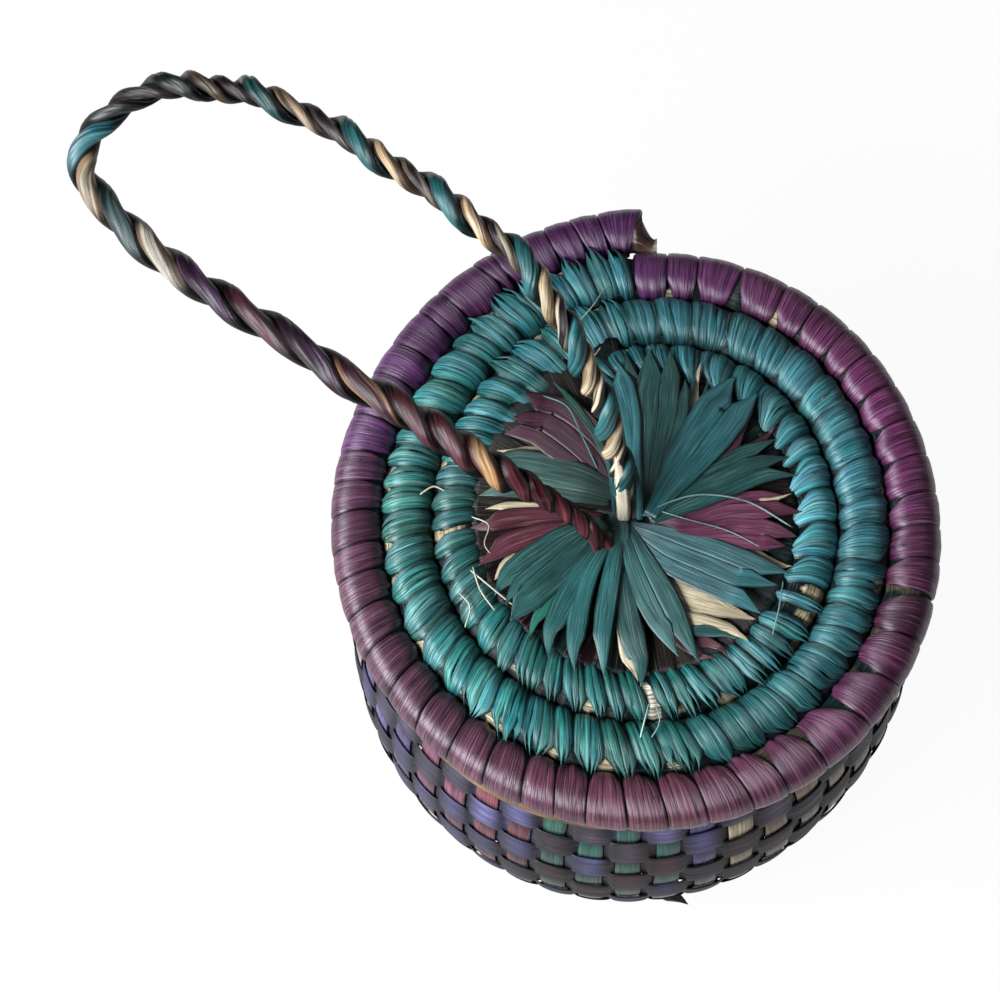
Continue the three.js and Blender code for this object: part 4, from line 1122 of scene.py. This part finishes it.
# Loose fibres that stand off the lid: their points, half width and colour.
HAIRS = [
    ([(3, -1, 98.4), (10.5, 2, 100.2), (19, 4, 100.6), (32, 2.2, 100), (45, -5.4, 98.8)], 0.26,
     (120, 150, 146)),
    ([(4, 1, 98.6), (14, -3, 99.8), (27, -7, 99.6), (38, -13, 99)], 0.2, (96, 132, 130)),
    ([(-46.5, -2, 98.6), (-41.5, -5, 99.4), (-42.5, -11, 99.2), (-40, -14.5, 98.6)], 0.2, (206, 206, 180)),
    ([(-46.5, -18.5, 98.4), (-40.5, -24, 99.2), (-34, -29.5, 98.8)], 0.26, (190, 200, 176)),
    ([(-45.8, -17.5, 98.6), (-43.4, -25, 99.2), (-39.2, -31, 98.6)], 0.24, (206, 206, 180)),
    ([(-49.5, -25.2, 98.2), (-46.2, -30, 98.9), (-47.5, -36, 98.2)], 0.22, (206, 206, 180)),
    ([(-61.5, 5.2, 98.2), (-57.6, 7.4, 98.8), (-54.4, 6.4, 98)], 0.26, (222, 214, 184)),
    ([(-26.6, 36.6, 98.8), (-19.6, 32.4, 100.4), (-15, 22.6, 100.8), (-10.4, 12.4, 99.6)], 0.2,
     (84, 150, 150)),
    ([(-14, 41.4, 98.8), (-12.6, 47, 99.4), (-9.8, 52.4, 98.6)], 0.22, (200, 200, 176)),
    ([(4.2, -58.4, 98), (3, -63.4, 99), (1.6, -68.8, 97.6)], 0.26, (150, 190, 180)),
    ([(6, -59, 98), (7, -64.4, 98.8), (4, -69.4, 97.2)], 0.2, (150, 190, 180)),
    ([(38.6, -38.4, 98.8), (40.6, -30.4, 99.6), (42, -22, 99.2)], 0.2, (120, 160, 156)),
    ([(-17, 60, 98.6), (-12, 66, 99.4), (-8.5, 73, 98)], 0.22, (170, 200, 190)),
]


def loose_fibres():
    made = [strand(line, half, tint, 40, 6, k) for k, (line, half, tint) in enumerate(HAIRS)]
    make_piece("loose_fibres", made, flat_leaf, "lid")


# Plaited handle

# The middle line of the plait, from the far foot over the back left of the lid to the near foot.
HANDLE_ROUTE = [
    (-2.4, -0.8, 96.5), (-2.7, 0.8, 101.5), (-4.8, 8.3, 118), (-9.4, 17.1, 135), (-14.8, 24.8, 147),
    (-21.5, 34.6, 155), (-29.8, 46.8, 159.5), (-39.4, 55.3, 161), (-50.7, 64.4, 161.3), (-62.1, 74, 160.8),
    (-73.7, 83, 159), (-85.5, 92.1, 157), (-97.8, 100.5, 154.9), (-112.5, 107.4, 152.2),
    (-127.8, 111.9, 148.4), (-143.2, 112.3, 142.8), (-154.4, 107.6, 136.9), (-160.6, 100.8, 131.9),
    (-160, 92.9, 128.3), (-153.5, 84.5, 126.4), (-141.3, 72.4, 125.7), (-126.6, 59.8, 126.9),
    (-109.9, 47.9, 128.4), (-93.1, 35.7, 129.6), (-79.9, 26, 130), (-65.3, 17.1, 130.3), (-53, 8.4, 130.5),
    (-38, -0.8, 127), (-28.5, -3.9, 121), (-20, -5.8, 113), (-10.6, -9.8, 102), (-8.6, -10.4, 96.5),
]
# How far along the handle (mm) each numbered lobe of the twist lies in front. The three strands take turns,
# so every third lobe is of the same strand.
LOBE_RUN = [
    (-6, -8), (-3, 15), (0, 38), (3, 61), (6, 86), (9, 116), (12, 148), (15, 184), (18, 211), (19, 222),
    (20, 234), (21, 246), (22, 259), (23, 275), (24, 293), (25, 311), (26, 330), (27, 351), (28, 371),
    (29, 386), (30, 399), (31, 410), (32, 419), (33, 427), (34, 435), (35, 443), (36, 450), (39, 472),
]
# Colour of the broad side and of the edge of each lobe, for every third lobe from number -6, -5 or -4 on.
LOBE_TINTS = {
    "teal": [
        (52, 104, 106, 30, 70, 74), (56, 108, 110, 34, 76, 80), (66, 120, 122, 40, 90, 94),
        (54, 116, 120, 30, 78, 84), (46, 108, 112, 26, 66, 70), (40, 96, 98, 20, 52, 54),
        (36, 86, 88, 18, 46, 48), (36, 78, 76, 18, 38, 38), (20, 32, 28, 14, 20, 20),
        (84, 140, 148, 30, 80, 90), (214, 206, 190, 130, 110, 90), (86, 50, 84, 40, 22, 34),
        (92, 44, 52, 50, 24, 32), (92, 38, 46, 54, 24, 32), (90, 36, 44, 54, 24, 32),
    ],
    "plum": [
        (44, 32, 38, 206, 192, 162), (42, 30, 36, 206, 192, 162), (38, 26, 34, 196, 182, 154),
        (36, 24, 32, 190, 176, 150), (32, 22, 30, 150, 134, 112), (30, 22, 28, 110, 96, 82),
        (32, 22, 28, 84, 70, 62), (34, 22, 26, 60, 42, 44), (46, 30, 34, 70, 60, 56),
        (220, 202, 172, 150, 120, 96), (94, 58, 98, 44, 24, 40), (92, 46, 60, 150, 112, 86),
        (158, 122, 82, 92, 54, 44), (88, 36, 44, 54, 24, 32), (88, 36, 44, 54, 24, 32),
    ],
    "natural": [
        (220, 206, 176, 150, 126, 98), (218, 202, 170, 150, 124, 96), (206, 186, 152, 138, 112, 86),
        (196, 174, 140, 128, 104, 80), (188, 164, 130, 110, 88, 68), (178, 152, 120, 96, 76, 60),
        (172, 146, 116, 84, 64, 52), (104, 86, 66, 50, 40, 34), (34, 44, 40, 20, 26, 24),
        (98, 120, 120, 34, 52, 56), (100, 52, 62, 50, 26, 34), (90, 40, 50, 50, 24, 34),
        (86, 38, 46, 52, 24, 32), (86, 36, 44, 52, 24, 32), (86, 36, 44, 52, 24, 32),
    ],
}
FIRST_LOBE = -6
# Half the width and half the thickness of each strand, near the far foot and on the way back (mm), and how
# far out it lies near the far foot.
STRAND_SIZES = {"teal": ((2.1, 1.75), (2.3, 2.05), 1.16), "plum": ((1.3, 1.25), (2.2, 2.0), 0.86),
                "natural": ((1.6, 1.5), (2.2, 2.0), 1.0)}
ROUTE_LENGTH = 457.7


# Averages each value with its neighbours, with the given weight for itself, and keeps the two ends.
def evened(values, weight, times):
    for _ in range(times):
        inside = (values[:-2] + weight * values[1:-1] + values[2:]) / (weight + 2)
        values = np.concatenate([values[:1], inside, values[-1:]])
    return values


def plait():
    line = smooth_line(HANDLE_ROUTE, 1500)
    run = length_along(line)
    total = run[-1]
    across = unit(np.cross(heading(line), np.array(TO_VIEWER)))
    normal = np.cross(across, heading(line))
    numbers, places = np.array(LOBE_RUN, float).T
    lobe = evened(np.interp(run * ROUTE_LENGTH / total, places, numbers), 2, 60)
    back = smooth(run, 222, 268)
    tight = smooth(run, 412, 436)
    ends = 0.5 + 0.5 * smooth(run, 0, 22) * smooth(total - run, 0, 10)
    radius = ((2.5 + 0.45 * back) * (1 - tight) + 1.65 * tight) * ends
    scale = (1 - 0.3 * tight) * (0.62 + 0.38 * ends)
    ring = ring_of(40)
    c = np.sign(np.cos(ring)) * np.abs(np.cos(ring)) ** 0.9
    s = np.sign(np.sin(ring)) * np.abs(np.sin(ring)) ** 0.8
    for k, (name, (near_size, far_size, own_share)) in enumerate(STRAND_SIZES.items()):
        r = np.random.default_rng(7000 + k)
        phase = math.pi / 2 - (lobe - k) * ROUND / 3
        phase = phase + 0.2 * np.sin(2 * phase)
        radial = across * np.cos(phase)[:, None] + normal * np.sin(phase)[:, None]
        here = radius * (own_share + (1 - own_share) * back) * (1 + 0.08 * waves(60 + k, 0.02, 0.09, 3)(run))
        centre = line + radial * here[:, None]
        own = heading(centre)
        thin_way = unit(radial - own * (radial * own).sum(-1, keepdims=True))
        wide_way = np.cross(own, thin_way)
        turn = 0.22 * waves(70 + k, 0.03, 0.1, 3)(run)[:, None]
        wide_way, thin_way = (wide_way * np.cos(turn) + thin_way * np.sin(turn),
                              thin_way * np.cos(turn) - wide_way * np.sin(turn))
        swell = 1 + (0.2 + 0.1 * back) * np.sin(phase)
        wide, thin = (((a + (b - a) * back) * scale * swell)[:, None] for a, b in zip(near_size, far_size))
        wide = wide * (1 + 0.05 * waves(80 + k, 0.03, 0.2, 4)(run))[:, None]
        dent = 1
        for _ in range(5):
            at = r.uniform(0.25, 2.9) + 0.35 * waves(int(r.integers(9000)), 0.01, 0.05, 2)(run)[:, None]
            dent = dent - r.uniform(0.05, 0.14) * peak(ring, at, r.uniform(0.05, 0.12))
        points = centre[:, None] + wide_way[:, None] * (wide * c)[..., None]
        points = points + thin_way[:, None] * (thin * s * dent)[..., None]
        nearest = (np.round((lobe - k) / 3) - FIRST_LOBE / 3).astype(int)
        colours = evened(lin(LOBE_TINTS[name])[nearest], 1, 6)[:, None]
        fold = 0.45 + 0.2 * waves(95 + k, 0.01, 0.05, 3)(run)[:, None]
        share = smooth(np.cos(ring - fold), 0.8, 0.9) + smooth(np.cos(ring - fold - 2.3), 0.86, 0.95)
        share = np.clip(share + smooth(-np.sin(ring), -0.1, 0.2), 0, 1)
        tint = mix(colours[..., :3], colours[..., 3:], share)
        face = smooth(np.sin(phase) - 0.25 * back, -0.25, 0.68)
        shade = 0.22 - 0.16 * back + (0.78 + 0.35 * back) * face
        shade = shade * (1 - 0.45 * smooth(run, 140, 190) * (1 - smooth(run, 230, 244)))
        shade = shade * (1 - 0.5 * back * (1 - smooth(run, 392, 406)))
        streak = waves(120 + k, 0.5, 1.6, 5)(ring * 2.4 + 0.02 * run[:, None])
        shade = shade[:, None] * (1 - 0.35 * smooth(1 - dent, 0.02, 0.1))
        tint = tint * (shade * (1 + 0.28 * np.clip(streak, -1.5, 1.5)))[..., None]
        fibre = stacked(ring * 2.6 + 50 * k, run[:, None])
        made = [patch(points, tint, fibre, True, True)]
        if name == "plum":
            # A near-black tube down the middle of the plait, painted shadow that shows in the gaps between
            # the strands.
            inside = across[:, None] * np.cos(ring)[..., None] + normal[:, None] * np.sin(ring)[..., None]
            inside = line[:, None] + inside * (0.75 * radius)[:, None, None]
            made.append(patch(inside, lin((16, 12, 14)), fibre, True, True))
        make_piece("handle_" + name, made, plait_leaf, "handle", ["handle-strand-" + name])


for make in (coil_core, plum_wraps, teal_wraps, rosette, centre_mat, bowl_stakes, bowl_weavers, hoops,
             base_weave, locating_ring, knots, handle_feet, loose_fibres, plait):
    make()


# Light, floor and world

FLOOR_HALF = 3.0
GLOW_SHARE = 0.95


def make_floor():
    mesh = bpy.data.meshes.new("floor")
    s = FLOOR_HALF
    mesh.from_pydata([(-s, -s, 0), (s, -s, 0), (s, s, 0), (-s, s, 0)], [], [(0, 1, 2, 3)])
    floor = add_object("floor", mesh)
    material = bpy.data.materials.new("floor")
    material.use_nodes = True
    tree = material.node_tree
    shader = tree.nodes["Principled BSDF"]
    plug(tree, shader, {"Base Color": (0.9, 0.9, 0.9, 1), "Roughness": 0.9})
    path = node(tree, "ShaderNodeLightPath").outputs
    seen = path["Is Camera Ray"]
    for ray in ("Is Glossy Ray", "Is Transmission Ray"):
        seen = node(tree, "ShaderNodeMath", {0: seen, 1: path[ray]}, operation="MAXIMUM").outputs[0]
    share = node(tree, "ShaderNodeMath", {0: seen, 1: GLOW_SHARE}, operation="MULTIPLY")
    glow = node(tree, "ShaderNodeEmission", {"Color": (1, 1, 1, 1), "Strength": 1.0})
    blend = node(tree, "ShaderNodeMixShader", {0: share.outputs[0], 1: shader.outputs[0], 2: glow.outputs[0]})
    plug(tree, tree.nodes["Material Output"], {"Surface": blend.outputs[0]})
    mesh.materials.append(material)


def make_world():
    world = bpy.data.worlds.new("world")
    bpy.context.scene.world = world
    world.use_nodes = True
    tree = world.node_tree
    background = tree.nodes["Background"]
    plug(tree, background, {"Color": (0.93, 0.96, 1, 1), "Strength": 0.035})
    white = node(tree, "ShaderNodeBackground", {"Color": (1, 1, 1, 1), "Strength": 1.0})
    seen = node(tree, "ShaderNodeLightPath").outputs["Is Camera Ray"]
    blend = node(tree, "ShaderNodeMixShader", {0: seen, 1: background.outputs[0], 2: white.outputs[0]})
    plug(tree, tree.nodes["World Output"], {"Surface": blend.outputs[0]})


def area_light(name, at, towards, size, power, colour):
    data = bpy.data.lights.new(name, "AREA")
    data.energy, data.shape, data.color = power, "RECTANGLE", colour
    data.size, data.size_y = size
    lamp = add_object(name, data)
    lamp.location = at
    lamp.rotation_euler = (Vector(towards) - Vector(at)).to_track_quat("-Z", "Y").to_euler()


make_floor()
make_world()
area_light("key", (-0.86, -0.48, 0.78), (0, 0, 0.08), (1.1, 0.6), 34, (0.94, 0.97, 1.0))
area_light("fill", (0.5, 0.7, 1.0), (0, 0, 0.05), (0.9, 0.9), 0.9, (1.0, 0.98, 0.96))
bpy.context.scene.view_settings.view_transform = "Standard"

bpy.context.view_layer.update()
